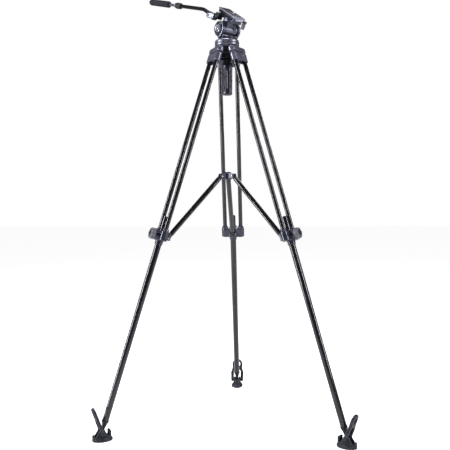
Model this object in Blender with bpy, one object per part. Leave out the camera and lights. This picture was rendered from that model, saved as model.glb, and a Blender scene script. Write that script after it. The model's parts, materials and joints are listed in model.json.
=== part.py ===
"""Video tripod with a fluid head: twin-tube legs, mid-level spreader, bowl crown and tilting head.

Metres, +Z up. The rear leg points along +Y. The origin is on the ground, in the middle of the feet's box.
Each moving piece hangs from an empty that stands on its joint's axis.
"""
import math

import bmesh
import bpy
from mathutils import Matrix, Vector

MM = 0.001
GAP = 0.3 * MM

# Legs and feet
FOOT_RADIUS = 0.495
LEG_ANGLE = math.radians(17.98)
LEG_AZIMUTHS = [math.radians(a) for a in (210, 330, 90)]
AXIS_Y = -FOOT_RADIUS / 4
HINGE_HEIGHT = 1.390
TUBE_SPACING = 64.9 * MM
TUBE_RADIUS = 8.0 * MM
TUBE_WALL = 1.2 * MM
BRACKET_BOTTOM = -46 * MM
SOCKET_HEIGHT = 9 * MM
LOCK_KNOB_END = 43 * MM
LOWER_RADIUS = 11.5 * MM
COLLAR_HEIGHT = 0.707
LOWER_TUBE_TOP = 0.775
SPIKE_TOP = 0.070
PIVOT_HEIGHT = 0.028
SHOE_HALF_WIDTH = 24.5 * MM
STRAP_LEAN = math.radians(20)
RING_HEIGHT = 71 * MM

# Mid-level spreader
SPREADER_HEIGHT = 0.926
HUB_PIVOT_RADIUS = 26 * MM
ARM_END_RADIUS = 0.240
ARM_END_HEIGHT = 0.698
ARM_RADIUS = 9 * MM

# Bowl and clamp
FLANGE_TOP = 1.431
FLANGE_RADIUS = 46 * MM
BOWL_RADIUS = 37.5 * MM
BOWL_WALL = 5 * MM
TIE_KNOB_TOP = 1.345
TIE_KNOB_LENGTH = 0.115

# Head
PAN_ANGLE = math.radians(-48.13)
TILT_DOWN = math.radians(33)
PAN_LOCK_HEIGHT = 13.5 * MM
PAN_LOCK_ANGLE = 135
TILT_AXIS_X = 2 * MM
TILT_AXIS_HEIGHT = 40 * MM
CHEEK_RADIUS = 28.5 * MM
CHEEK_OUTER = 41 * MM
CHEEK_INNER = 31 * MM
DRUM_RADIUS = 22 * MM
PLATE_TOP = 64 * MM
PLATE_LENGTH = 115 * MM
PLATE_WIDTH = 50 * MM
PLATE_CENTRE = -6 * MM

# Pan handle, measured from its clamp
CLAMP_AT = Vector((-36, -50, 30)) * MM
HANDLE_NECK = 78 * MM
NECK_RISE = math.radians(0.5)
HANDLE_DROP = math.radians(15.3)
HANDLE_FLARE = math.radians(7.5)
HANDLE_TUBE_RADIUS = 7 * MM
HANDLE_ROD_RADIUS = 5 * MM
HANDLE_COLLAR_AT = (0.137, 0.170)
HANDLE_GRIP_AT = (0.213, 0.337)
HANDLE_ROD_LOW = 0.068


# ---------------------------------------------------------------- helpers

def clear_scene():
    for thing in list(bpy.data.objects):
        bpy.data.objects.remove(thing, do_unlink=True)


def make_material(name, colour, roughness, metallic):
    material = bpy.data.materials.new(name)
    material.use_nodes = True
    shader = material.node_tree.nodes["Principled BSDF"]
    shader.inputs["Base Color"].default_value = (*colour, 1)
    shader.inputs["Roughness"].default_value = roughness
    shader.inputs["Metallic"].default_value = metallic
    return material


def empty(name, parent=None, at=(0, 0, 0), turn=(0, 0, 0)):
    frame = bpy.data.objects.new(name, None)
    frame.location = at
    frame.rotation_euler = turn
    frame.parent = parent
    bpy.context.collection.objects.link(frame)
    return frame


def place(name, shape, parent):
    bmesh.ops.recalc_face_normals(shape, faces=shape.faces)
    mesh = bpy.data.meshes.new(name)
    shape.to_mesh(mesh)
    shape.free()
    mesh.shade_smooth()
    mesh.set_sharp_from_angle(angle=math.radians(35))
    piece = bpy.data.objects.new(name, mesh)
    piece.parent = parent
    bpy.context.collection.objects.link(piece)
    return piece


def solid(name, shape, parent, material):
    piece = place(name, shape, parent)
    piece.data.materials.append(material)
    return piece


# Pieces with many round cuts that meet on one line need the manifold solver to stay closed
MANIFOLD_PIECES = ("leg_collar", "lock_knob", "shoe", "spike")


def combine(piece, shape, operation):
    """Add or cut a shape, given in the piece's own frame."""
    tool = place(f"{piece.name}_tool_{len(piece.modifiers)}", shape, piece.parent)
    tool.hide_render = True
    tool.display_type = "WIRE"
    step = piece.modifiers.new(tool.name, "BOOLEAN")
    step.operation = operation
    step.solver = "MANIFOLD" if piece.name.startswith(MANIFOLD_PIECES) else "EXACT"
    step.object = tool


def add(piece, *shapes):
    for shape in shapes:
        combine(piece, shape, "UNION")


def cut(piece, *shapes):
    for shape in shapes:
        combine(piece, shape, "DIFFERENCE")


def turned(profile, segments=24):
    """A solid of revolution about Z. Points at radius 0 are poles; otherwise the profile closes on itself."""
    shape = bmesh.new()
    rings = []
    for radius, height in profile:
        if radius == 0:
            rings.append([shape.verts.new((0, 0, height))])
            continue
        angles = [2 * math.pi * k / segments for k in range(segments)]
        rings.append([shape.verts.new((radius * math.cos(a), radius * math.sin(a), height)) for a in angles])
    pairs = list(zip(rings, rings[1:]))
    if len(rings[0]) > 1:
        pairs.append((rings[-1], rings[0]))
    for low, high in pairs:
        for k in range(segments):
            n = (k + 1) % segments
            if len(low) == 1:
                shape.faces.new((low[0], high[n], high[k]))
            elif len(high) == 1:
                shape.faces.new((low[k], low[n], high[0]))
            else:
                shape.faces.new((low[k], low[n], high[n], high[k]))
    return shape


def rod(radius, low, high, segments=14):
    return turned([(0, low), (radius, low), (radius, high), (0, high)], segments)


def pipe(outer, inner, low, high, segments=14):
    return turned([(inner, low), (outer, low), (outer, high), (inner, high)], segments)


def prism(outline, low, high):
    """A flat outline, raised along Z from low to high."""
    shape = bmesh.new()
    bottom = [shape.verts.new((x, y, low)) for x, y in outline]
    top = [shape.verts.new((x, y, high)) for x, y in outline]
    shape.faces.new(bottom)
    shape.faces.new(top)
    for k in range(len(outline)):
        n = (k + 1) % len(outline)
        shape.faces.new((bottom[k], bottom[n], top[n], top[k]))
    return shape


def block(x, y, z):
    """A box from three (low, high) pairs."""
    return prism([(x[0], y[0]), (x[1], y[0]), (x[1], y[1]), (x[0], y[1])], z[0], z[1])


def arc(centre, radius, start, end, steps):
    """Points on an arc in a plane, angles in degrees, both ends included."""
    angles = [math.radians(start + (end - start) * k / steps) for k in range(steps + 1)]
    return [(centre[0] + radius * math.cos(a), centre[1] + radius * math.sin(a)) for a in angles]


def stadium(radius, half_spacing, steps=5):
    """A long outline with round ends on Y."""
    return arc((0, half_spacing), radius, 0, 180, steps) + arc((0, -half_spacing), radius, 180, 360, steps)


def ellipse(centre_x, half_x, half_y, steps=18):
    angles = [2 * math.pi * k / steps for k in range(steps)]
    return [(centre_x + half_x * math.cos(a), half_y * math.sin(a)) for a in angles]


def moved(shape, *matrices):
    for matrix in matrices:
        shape.transform(matrix)
    return shape


def shift(x=0, y=0, z=0):
    return Matrix.Translation((x, y, z))


def spin(degrees, axis):
    return Matrix.Rotation(math.radians(degrees), 4, axis)


ALONG_Y = spin(-90, "X")
ALONG_X = spin(90, "Y")
UPRIGHT_XZ = spin(90, "X")
MIRROR_Y = Matrix.Scale(-1, 4, (0, 1, 0))
ACROSS_X = Matrix(((0, 0, 1, 0), (1, 0, 0, 0), (0, 1, 0, 0), (0, 0, 0, 1)))


def rod_y(radius, low, high, at=(0, 0), segments=12):
    """A rod along Y, at an (x, z) place."""
    return moved(rod(radius, low, high, segments), ALONG_Y, shift(at[0], 0, at[1]))


def swept(points, radius, segments=14):
    """A round bar that follows points, with flat ends."""
    shape = bmesh.new()
    rings = []
    for k, point in enumerate(points):
        before = points[max(k - 1, 0)]
        after = points[min(k + 1, len(points) - 1)]
        direction = (after - before).normalized()
        side = Vector((0, 1, 0)).cross(direction).normalized()
        up = direction.cross(side)
        angles = [2 * math.pi * j / segments for j in range(segments)]
        offsets = [radius * (math.cos(a) * side + math.sin(a) * up) for a in angles]
        rings.append([shape.verts.new(point + offset) for offset in offsets])
    for low, high in zip(rings, rings[1:]):
        for j in range(segments):
            n = (j + 1) % segments
            shape.faces.new((low[j], low[n], high[n], high[j]))
    shape.faces.new(rings[0])
    shape.faces.new(rings[-1])
    return shape


# ---------------------------------------------------------------- crown and bowl

def bowl_profile():
    """The bowl's section: round seat inside, flange and skirt outside. Heights from the flange's top."""
    outer = BOWL_RADIUS + BOWL_WALL
    hole = 13 * MM
    skirt = 29.5 * MM
    under = [(r, -math.sqrt(outer ** 2 - r ** 2)) for r in (hole, 18 * MM, 23.5 * MM, skirt)]
    outside = [(skirt, -48 * MM), (25.5 * MM, -52 * MM), (25.5 * MM, -68 * MM), (29.5 * MM, -68 * MM)]
    outside += [(30.2 * MM, -50 * MM), (34 * MM, -50 * MM), (36 * MM, -24 * MM)]
    outside.append((FLANGE_RADIUS - 3 * MM, -23 * MM))
    rim = [(FLANGE_RADIUS, -20 * MM), (FLANGE_RADIUS, -4 * MM), (FLANGE_RADIUS - 2 * MM, 0)]
    rim.append((BOWL_RADIUS + 0.5 * MM, 0))
    low_angle = math.acos(hole / BOWL_RADIUS)
    seat = [
        (BOWL_RADIUS * math.cos(low_angle * k / 6), -BOWL_RADIUS * math.sin(low_angle * k / 6))
        for k in range(1, 7)
    ]
    return under + outside + rim + seat


def leg_matrix(azimuth):
    """The leg's frame, seen from the crown's own frame."""
    radius = FOOT_RADIUS - HINGE_HEIGHT * math.tan(LEG_ANGLE)
    at = Vector((radius * math.cos(azimuth), radius * math.sin(azimuth), HINGE_HEIGHT))
    turn = Matrix.Rotation(azimuth, 4, "Z") @ Matrix.Rotation(-LEG_ANGLE, 4, "Y")
    return Matrix.Translation(at) @ turn


EAR_BOTTOM = -10 * MM
EAR_TOP = 12 * MM
KNUCKLE_HALF = 15 * MM


def build_crown(tripod, finish):
    crown = solid("bowl_crown", moved(turned(bowl_profile(), 30), shift(z=FLANGE_TOP)), tripod, finish)
    for azimuth in LEG_AZIMUTHS:
        leg = leg_matrix(azimuth)
        cap = prism(stadium(14 * MM, TUBE_SPACING / 2), EAR_BOTTOM, EAR_TOP - 5 * MM)
        top = prism(stadium(10 * MM, TUBE_SPACING / 2), EAR_TOP - 6 * MM, EAR_TOP)
        neck = block((-14.5 * MM, 0), (-26 * MM, 26 * MM), (EAR_BOTTOM, EAR_TOP - 4 * MM))
        add(crown, moved(cap, leg), moved(top, leg), moved(neck, leg))
    for azimuth in LEG_AZIMUTHS:
        leg = leg_matrix(azimuth)
        slot_half = KNUCKLE_HALF + 0.5 * MM
        slot = block((-12 * MM, 9.5 * MM), (-slot_half, slot_half), (-20 * MM, 9.2 * MM))
        bore = rod_y(3.5 * MM + GAP, -27 * MM, 27 * MM)
        cut(crown, moved(slot, leg), moved(bore, leg))
    return crown


def build_bowl_clamp(tripod, finishes):
    """Half ball with its bolt, the washer under the bowl, and the long handle that tightens both."""
    ball_frame = empty("level_axis", tripod, (0, 0, FLANGE_TOP))
    radius = BOWL_RADIUS - GAP - 0.2 * MM
    bottom = math.asin(30 * MM / radius)
    sphere = [
        (radius * math.cos(bottom * k / 6), -radius * math.sin(bottom * k / 6) - 0.2 * MM)
        for k in range(0, 7)
    ]
    bolt_end = TIE_KNOB_TOP - 32 * MM - FLANGE_TOP
    shank = [(5 * MM, sphere[-1][1]), (5 * MM, bolt_end), (0, bolt_end)]
    profile = [(0, 3 * MM), (34 * MM, 3 * MM), (34 * MM, 1 * MM), (radius, 1 * MM)] + sphere + shank
    solid("half_ball", turned(profile, 24), ball_frame, finishes["casting"])

    inner = BOWL_RADIUS + BOWL_WALL + GAP + 0.2 * MM
    outer = inner + 4 * MM
    top = [(r, -math.sqrt(inner ** 2 - r ** 2)) for r in (6 * MM, 13 * MM, 20 * MM)]
    base = [(r, -math.sqrt(outer ** 2 - r ** 2)) for r in (20 * MM, 13 * MM, 6 * MM)]
    solid("clamp_washer", turned(top + base, 18), ball_frame, finishes["steel"])

    knob_top = TIE_KNOB_TOP - FLANGE_TOP
    low = knob_top - TIE_KNOB_LENGTH
    inside = [(5 * MM + GAP, knob_top), (5 * MM + GAP, knob_top - 36 * MM), (0, knob_top - 36 * MM)]
    profile = [(0, low), (17 * MM, low), (19 * MM, low + 3 * MM), (20.5 * MM, knob_top - 6 * MM)]
    profile += [(19 * MM, knob_top), *inside]
    knob = solid("tie_down_handle", turned(profile, 20), ball_frame, finishes["plastic"])
    for k in range(8):
        flute = rod(4 * MM, low - 2 * MM, knob_top - 12 * MM, 6)
        cut(knob, moved(flute, shift(x=22.3 * MM), spin(45 * k + 22.5, "Z")))
    return ball_frame


# ---------------------------------------------------------------- legs

def leg_point(distance):
    """Height in the leg's frame of a point at a distance along the leg from the ground."""
    return distance - HINGE_HEIGHT / math.cos(LEG_ANGLE)


def build_upper_leg(number, leg, finishes):
    half = TUBE_SPACING / 2
    top, bottom = -14 * MM, BRACKET_BOTTOM
    pin = rod_y(3.5 * MM, -26 * MM, 26 * MM)
    solid(f"hinge_pin_{number}", pin, leg, finishes["steel"])

    body = prism(stadium(13 * MM, half), bottom, top)
    bracket = solid(f"leg_bracket_{number}", body, leg, finishes["casting"])
    web = block((-7.5 * MM, 7.5 * MM), (-KNUCKLE_HALF, KNUCKLE_HALF), (top - 2 * MM, 0))
    knuckle = rod_y(8 * MM, -KNUCKLE_HALF, KNUCKLE_HALF)
    add(bracket, web, knuckle)
    recess = prism(stadium(10.5 * MM, half), bottom - 5 * MM, bottom + 9 * MM)
    cut(bracket, recess, rod_y(3.5 * MM + GAP, -20 * MM, 20 * MM))

    tube_bottom = leg_point(COLLAR_HEIGHT / math.cos(LEG_ANGLE)) - 12 * MM
    for side, name in ((-1, "a"), (1, "b")):
        bore = rod(TUBE_RADIUS + GAP, bottom - 5 * MM, bottom + 22 * MM)
        cut(bracket, moved(bore, shift(y=side * half)))
        tube = pipe(TUBE_RADIUS, TUBE_RADIUS - TUBE_WALL, tube_bottom, bottom + 21 * MM)
        solid(f"upper_tube_{number}{name}", moved(tube, shift(y=side * half)), leg, finishes["tube"])
    return tube_bottom


def arm_end_local():
    """Where a spreader arm meets the collar, in the leg's frame."""
    hinge_radius = FOOT_RADIUS - HINGE_HEIGHT * math.tan(LEG_ANGLE)
    out = ARM_END_RADIUS - hinge_radius
    up = ARM_END_HEIGHT - HINGE_HEIGHT
    x = out * math.cos(LEG_ANGLE) + up * math.sin(LEG_ANGLE)
    z = -out * math.sin(LEG_ANGLE) + up * math.cos(LEG_ANGLE)
    return x, z


def build_collar(number, leg, tube_bottom, finishes):
    """The casting at the lower end of the twin tubes: sockets, clamp for the lower tube, fork for the arm."""
    half = TUBE_SPACING / 2
    centre = leg_point(COLLAR_HEIGHT / math.cos(LEG_ANGLE))
    top, bottom = centre + 18 * MM, centre - 18 * MM
    body = prism(stadium(14 * MM, half), bottom, top)
    collar = solid(f"leg_collar_{number}", body, leg, finishes["casting"])
    for side in (-1, 1):
        low, high = top - 1 * MM, top + SOCKET_HEIGHT
        socket = turned([(0, low), (12.5 * MM, low), (11 * MM, high), (0, high)], 14)
        add(collar, moved(socket, shift(y=side * half)))
    neck_low = bottom - 15 * MM
    neck_high = bottom + 2 * MM
    neck = turned([(0, neck_low), (13.8 * MM, neck_low), (14.6 * MM, neck_high), (0, neck_high)], 18)
    boss = moved(rod(15 * MM, 12.2 * MM, 24 * MM, 16), ALONG_X, shift(z=centre + 0.5 * MM))
    add(collar, neck, boss)
    arm_x, arm_z = arm_end_local()
    for side in (-1, 1):
        ear_sides = sorted((side * 6.4 * MM, side * 11.5 * MM))
        ear = block((arm_x - 8 * MM, -10 * MM), ear_sides, (arm_z - 9 * MM, arm_z + 9 * MM))
        head = rod_y(5 * MM, *sorted((side * 11 * MM, side * 14 * MM)), (arm_x, arm_z), 10)
        add(collar, ear, head)
    cut(collar, rod(LOWER_RADIUS + GAP, neck_low - 5 * MM, top + 5 * MM))
    for side in (-1, 1):
        bore = rod(TUBE_RADIUS + GAP, tube_bottom - GAP, top + 30 * MM)
        cut(collar, moved(bore, shift(y=side * half)))
    cut(collar, moved(rod(5 * MM + GAP, 15 * MM, 30 * MM), ALONG_X, shift(z=centre)))

    knob_frame = empty(f"lock_knob_axis_{number}", leg, (0, 0, centre))
    end = LOCK_KNOB_END
    face = [(0, 25.2 * MM), (20 * MM, 25.2 * MM), (21.5 * MM, 28 * MM), (20.5 * MM, end - 3 * MM)]
    face += [(17 * MM, end), (0, end)]
    knob = solid(f"lock_knob_{number}", moved(turned(face, 18), ALONG_X), knob_frame, finishes["plastic"])
    add(knob, moved(rod(5 * MM, 16.5 * MM, 26 * MM), ALONG_X))
    for k in range(6):
        flute = moved(rod(3.2 * MM, 20 * MM, 60 * MM, 6), shift(x=22.8 * MM), spin(60 * k, "Z"), ALONG_X)
        cut(knob, flute)


def build_lower_leg(number, leg, finishes):
    slide = empty(f"lower_leg_{number}", leg)
    tube_low = leg_point(SPIKE_TOP / math.cos(LEG_ANGLE))
    tube_high = leg_point(LOWER_TUBE_TOP / math.cos(LEG_ANGLE))
    tube = pipe(LOWER_RADIUS, LOWER_RADIUS - TUBE_WALL, tube_low, tube_high)
    solid(f"lower_tube_{number}", tube, slide, finishes["tube"])

    pivot = leg_point(PIVOT_HEIGHT / math.cos(LEG_ANGLE))
    inside = LOWER_RADIUS - TUBE_WALL - GAP
    profile = [(0, pivot + 6 * MM), (6.5 * MM, pivot + 6 * MM), (6.5 * MM, pivot + 20 * MM)]
    profile.append((10.5 * MM, pivot + 34 * MM))
    profile += [(12.8 * MM, tube_low - 0.5 * MM), (inside, tube_low - 0.5 * MM)]
    profile += [(inside, tube_low + 25 * MM), (0, tube_low + 25 * MM)]
    spike = solid(f"spike_{number}", turned(profile, 14), slide, finishes["steel"])
    add(spike, rod_y(8 * MM, -6.5 * MM, 6.5 * MM, (0, pivot)))
    cut(spike, rod_y(3.2 * MM + GAP, -20 * MM, 20 * MM, (0, pivot)))
    return slide, pivot


def build_shoe(number, slide, pivot, finishes):
    """Rubber overshoe: an oval pad with two cheeks, a pin, and a strap with a finger ring."""
    shoe = empty(f"shoe_axis_{number}", slide, (0, 0, pivot), (0, LEG_ANGLE, 0))
    low = -PIVOT_HEIGHT
    shift_in = -2 * MM
    oval = ellipse(shift_in, 36 * MM, SHOE_HALF_WIDTH)
    rim = ellipse(shift_in, 32 * MM, SHOE_HALF_WIDTH - 3 * MM)
    pad = solid(f"shoe_{number}", prism(oval, low, low + 10 * MM), shoe, finishes["rubber"])
    add(pad, prism(rim, low + 9 * MM, low + 15 * MM))
    for side in (-1, 1):
        near, far = sorted((side * 7.2 * MM, side * 14 * MM))
        outline = [(-26 * MM, low + 12 * MM), (28 * MM, low + 12 * MM)]
        outline += arc((1 * MM, 3 * MM), 12 * MM, 10, 170, 6)
        cheek = moved(prism(outline, near, far), UPRIGHT_XZ, MIRROR_Y)
        add(pad, cheek)
    inner_lug = block((-31 * MM, -22 * MM), (-14 * MM, 14 * MM), (low + 10 * MM, 8 * MM))
    outer_lug = block((25 * MM, 33 * MM), (-8 * MM, 8 * MM), (low + 8 * MM, -6 * MM))
    add(pad, inner_lug, outer_lug)
    cut(pad, rod_y(3.2 * MM + GAP, -30 * MM, 30 * MM))
    solid(f"shoe_pin_{number}", rod_y(3.2 * MM, -27 * MM, 27 * MM), shoe, finishes["steel"])

    strap_frame = empty(f"strap_axis_{number}", shoe, (0, 0, 0), (0, STRAP_LEAN, 0))
    build_strap(number, strap_frame, finishes["rubber"])


def build_strap(number, frame, finish):
    """A flat rubber figure of eight: a loop around the leg's tip below, a finger ring above."""
    ring_at = RING_HEIGHT
    outline = arc((0, ring_at), 23 * MM, -15, 195, 12)
    outline += [(-22.5 * MM, 52 * MM), (-29 * MM, 34 * MM), (-27 * MM, -6 * MM), (-15.5 * MM, -6 * MM)]
    outline += [(-15.5 * MM, 38 * MM), (-10 * MM, 46 * MM), (10 * MM, 46 * MM), (15.5 * MM, 38 * MM)]
    outline += [(15.5 * MM, -6 * MM), (27 * MM, -6 * MM), (29 * MM, 34 * MM), (22.5 * MM, 52 * MM)]
    strap = solid(f"shoe_strap_{number}", moved(prism(outline, -5.5 * MM, 5.5 * MM), ACROSS_X), frame, finish)
    hole = arc((0, ring_at), 13 * MM, 0, 330, 11)
    cut(strap, moved(prism(hole, -20 * MM, 20 * MM), ACROSS_X))
    cut(strap, rod_y(3.2 * MM + GAP, -40 * MM, 40 * MM))


# ---------------------------------------------------------------- spreader

def build_spreader(tripod, finishes):
    hub_frame = empty("spreader_axis", tripod, (0, 0, SPREADER_HEIGHT))
    profile = [(0, -14 * MM), (13 * MM, -14 * MM), (16 * MM, -11 * MM)]
    profile += [(16 * MM, 12 * MM), (12 * MM, 16 * MM)]
    hub = solid("spreader_hub", turned(profile + [(0, 16 * MM)], 24), hub_frame, finishes["casting"])
    drop = SPREADER_HEIGHT - ARM_END_HEIGHT
    reach = ARM_END_RADIUS - HUB_PIVOT_RADIUS
    length = math.hypot(drop, reach)
    slope = math.atan2(drop, reach)
    for azimuth in LEG_AZIMUTHS:
        turn = Matrix.Rotation(azimuth, 4, "Z")
        for side in (-1, 1):
            ear = block((9 * MM, 33 * MM), sorted((side * 6.3 * MM, side * 11.5 * MM)), (-9 * MM, 10 * MM))
            add(hub, moved(ear, turn))
        add(hub, moved(rod_y(3.4 * MM, -13.5 * MM, 13.5 * MM, (HUB_PIVOT_RADIUS, 0), 12), turn))
    for number, azimuth in enumerate(LEG_AZIMUTHS, 1):
        at = (HUB_PIVOT_RADIUS * math.cos(azimuth), HUB_PIVOT_RADIUS * math.sin(azimuth), 0)
        frame = empty(f"arm_axis_{number}", hub_frame, at, (0, slope, azimuth))
        bar = moved(rod(ARM_RADIUS, 15 * MM, length - 22 * MM, 12), ALONG_X)
        arm = solid(f"spreader_arm_{number}", bar, frame, finishes["tube"])
        for end in (0, length):
            inner = (0, 18 * MM) if end == 0 else (length - 25 * MM, length)
            add(arm, block(inner, (-5.6 * MM, 5.6 * MM), (-7.5 * MM, 7.5 * MM)))
            add(arm, rod_y(7.5 * MM, -5.6 * MM, 5.6 * MM, (end, 0)))
            cut(arm, rod_y(3.4 * MM + GAP, -20 * MM, 20 * MM, (end, 0), 12))


# ---------------------------------------------------------------- head

def teardrop(radius, tip_radius, drop, steps=14):
    """A side cheek's outline: a round top that narrows to a small round tip below."""
    lean = math.degrees(math.asin((radius - tip_radius) / drop))
    tip = arc((0, -drop), tip_radius, 180 + lean, 360 - lean, 5)
    return arc((0, 0), radius, -lean, 180 + lean, steps) + tip


def build_pan_body(pan, finishes):
    """The part that pans: a round base and two cheeks that carry the tilt drum."""
    base_profile = [(0, 3.4 * MM), (33 * MM, 3.4 * MM), (33 * MM, 8 * MM), (29 * MM, 12 * MM), (0, 12 * MM)]
    yoke = solid("pan_yoke", turned(base_profile, 26), pan, finishes["casting"])
    floor = block((-14 * MM, 24 * MM), (-34 * MM, 34 * MM), (9 * MM, 16.5 * MM))
    add(yoke, floor)
    for side in (-1, 1):
        near, far = sorted((side * CHEEK_INNER, side * CHEEK_OUTER))
        cheek = prism(teardrop(CHEEK_RADIUS, 11 * MM, 22 * MM), near, far)
        add(yoke, moved(cheek, UPRIGHT_XZ, MIRROR_Y, shift(TILT_AXIS_X, 0, TILT_AXIS_HEIGHT)))
    cut(yoke, rod_y(8 * MM + GAP, -60 * MM, 60 * MM, (TILT_AXIS_X, TILT_AXIS_HEIGHT), 20))
    to_lock = (shift(z=PAN_LOCK_HEIGHT), spin(PAN_LOCK_ANGLE, "Z"))
    add(yoke, moved(rod(6 * MM, 20 * MM, 35 * MM, 12), ALONG_X, *to_lock))
    cut(yoke, moved(rod(3 * MM + GAP, 24 * MM, 60 * MM, 12), ALONG_X, *to_lock))

    knob_frame = empty("pan_lock_axis", pan, (0, 0, PAN_LOCK_HEIGHT), (0, 0, math.radians(PAN_LOCK_ANGLE)))
    profile = [(0, 25 * MM), (3 * MM, 25 * MM), (3 * MM, 35.5 * MM), (5.5 * MM, 35.5 * MM)]
    profile += [(6.6 * MM, 39 * MM), (6 * MM, 53 * MM), (0, 54 * MM)]
    solid("pan_lock_knob", moved(turned(profile, 16), ALONG_X), knob_frame, finishes["plastic"])

    dial_frame = empty("dial_axis", pan, (TILT_AXIS_X, 0, TILT_AXIS_HEIGHT))
    profile = [(0, 41.4 * MM), (22 * MM, 41.4 * MM), (22 * MM, 44.5 * MM), (20 * MM, 46.5 * MM), (0, 48 * MM)]
    dial = moved(turned(profile, 28), ALONG_Y, spin(180, "Z"))
    solid("tilt_drag_dial", dial, dial_frame, finishes["plate"])
    profile = [(0, 41.4 * MM), (21 * MM, 41.4 * MM), (19 * MM, 44 * MM), (0, 45 * MM)]
    solid("tilt_side_cap", moved(turned(profile, 24), ALONG_Y), dial_frame, finishes["plastic"])


def build_tilt_body(tilt, finishes):
    """The drum between the cheeks and the saddle on it."""
    barrel = rod_y(DRUM_RADIUS, -30.5 * MM, 30.5 * MM, (0, 0), 24)
    drum = solid("tilt_drum", barrel, tilt, finishes["casting"])
    trunnion = rod_y(8 * MM, -40.8 * MM, 40.8 * MM, (0, 0), 20)
    neck = block((-17 * MM, 17 * MM), (-22 * MM, 22 * MM), (8 * MM, 36 * MM))
    add(drum, trunnion, neck)

    saddle_box = block((-50 * MM, 40 * MM), (-23 * MM, 23 * MM), (36.3 * MM, 48 * MM))
    saddle = solid("tilt_saddle", saddle_box, tilt, finishes["casting"])
    arm = block((-48 * MM, -27 * MM), (-42.2 * MM, -18 * MM), (24 * MM, 47 * MM))
    add(saddle, arm)
    cut(saddle, rod_y(4 * MM + GAP, -60 * MM, -25 * MM, (CLAMP_AT.x, CLAMP_AT.z), 12))
    cut(saddle, rod_y(2.5 * MM + GAP, -40 * MM, -14 * MM, (10 * MM, 40 * MM), 12))

    lock_frame = empty("tilt_lock_axis", tilt, (10 * MM, 0, 40 * MM))
    profile = [(0, 15 * MM), (2.5 * MM, 15 * MM), (2.5 * MM, 23.6 * MM), (6.5 * MM, 23.6 * MM)]
    profile += [(7.5 * MM, 26 * MM), (7 * MM, 33 * MM), (0, 34 * MM)]
    lock = moved(turned(profile, 16), ALONG_Y, spin(180, "Z"))
    solid("tilt_lock_knob", lock, lock_frame, finishes["plastic"])


def dovetail(low_half, high_half, low, high):
    return [(-low_half, low), (low_half, low), (high_half, high), (-high_half, high)]


def build_plate(tilt, finishes):
    """Quick-release base with dovetail rails, and the sliding plate with its screw and pin."""
    base_box = block((-58 * MM, 47 * MM), (-25 * MM, 25 * MM), (48.3 * MM, 58 * MM))
    base = solid("plate_base", base_box, tilt, finishes["plate"])
    add(base, block((36 * MM, 50 * MM), (23.4 * MM, 38 * MM), (45.5 * MM, 54 * MM)))
    cut(base, moved(prism(dovetail(20.5 * MM, 16.5 * MM, 51.6 * MM, 58.5 * MM), -80 * MM, 80 * MM), ACROSS_X))
    cut(base, moved(rod(2.5 * MM + GAP, 40 * MM, 60 * MM, 12), shift(43 * MM, 31 * MM)))
    cut(base, rod_y(3 * MM + GAP, 18 * MM, 30 * MM, (-44 * MM, 53 * MM), 12))

    slide = empty("plate_axis", tilt)
    half = PLATE_LENGTH / 2
    upper = block((PLATE_CENTRE - half, PLATE_CENTRE + half), (-PLATE_WIDTH / 2, PLATE_WIDTH / 2),
                  (58.3 * MM, PLATE_TOP))
    plate = solid("slide_plate", upper, slide, finishes["plate"])
    tail = prism(dovetail(19.8 * MM, 16.1 * MM, 52 * MM, 59 * MM), PLATE_CENTRE - half + 1 * MM,
                 PLATE_CENTRE + half - 1 * MM)
    add(plate, moved(tail, ACROSS_X))
    slot = prism(stadium(3.7 * MM, 14 * MM, 5), 40 * MM, 80 * MM)
    pocket = prism(stadium(8.5 * MM, 14 * MM, 6), 40 * MM, 58 * MM)
    for shape in (slot, pocket):
        cut(plate, moved(shape, spin(90, "Z"), shift(x=4 * MM)))
    cut(plate, moved(rod(2.5 * MM, 55.5 * MM, 80 * MM, 12), shift(x=30 * MM)))

    screw_frame = empty("screw_axis", slide, (4 * MM, 0, 0))
    profile = [(0, 52.4 * MM), (7.6 * MM, 52.4 * MM), (7.6 * MM, 57 * MM), (3.1 * MM, 57 * MM)]
    profile += [(3.1 * MM, 70 * MM), (0, 70.5 * MM)]
    solid("camera_screw", turned(profile, 16), screw_frame, finishes["steel"])
    pin_frame = empty("video_pin_axis", slide, (30 * MM, 0, 0))
    solid("video_pin", turned([(0, 60.4 * MM), (2.1 * MM, 60.4 * MM), (2.1 * MM, 67 * MM), (0, 68 * MM)], 12),
          pin_frame, finishes["steel"])

    knob_frame = empty("plate_lock_axis", tilt, (43 * MM, 31 * MM, 0))
    profile = [(0, 24 * MM), (6.5 * MM, 24 * MM), (7.5 * MM, 27 * MM), (7.5 * MM, 42 * MM)]
    profile += [(6 * MM, 45.1 * MM), (2.5 * MM, 45.1 * MM), (2.5 * MM, 53 * MM), (0, 53 * MM)]
    solid("plate_lock_knob", turned(profile, 16), knob_frame, finishes["plastic"])
    button_frame = empty("safety_button_axis", tilt, (-44 * MM, 0, 53 * MM))
    solid("safety_button", rod_y(3 * MM, 22.8 * MM, 28.5 * MM, (0, 0), 12), button_frame, finishes["red"])


def handle_direction(drop, flare):
    """Backward direction in the platform's frame."""
    return Vector((-math.cos(drop) * math.cos(flare), -math.cos(drop) * math.sin(flare), -math.sin(drop)))


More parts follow.
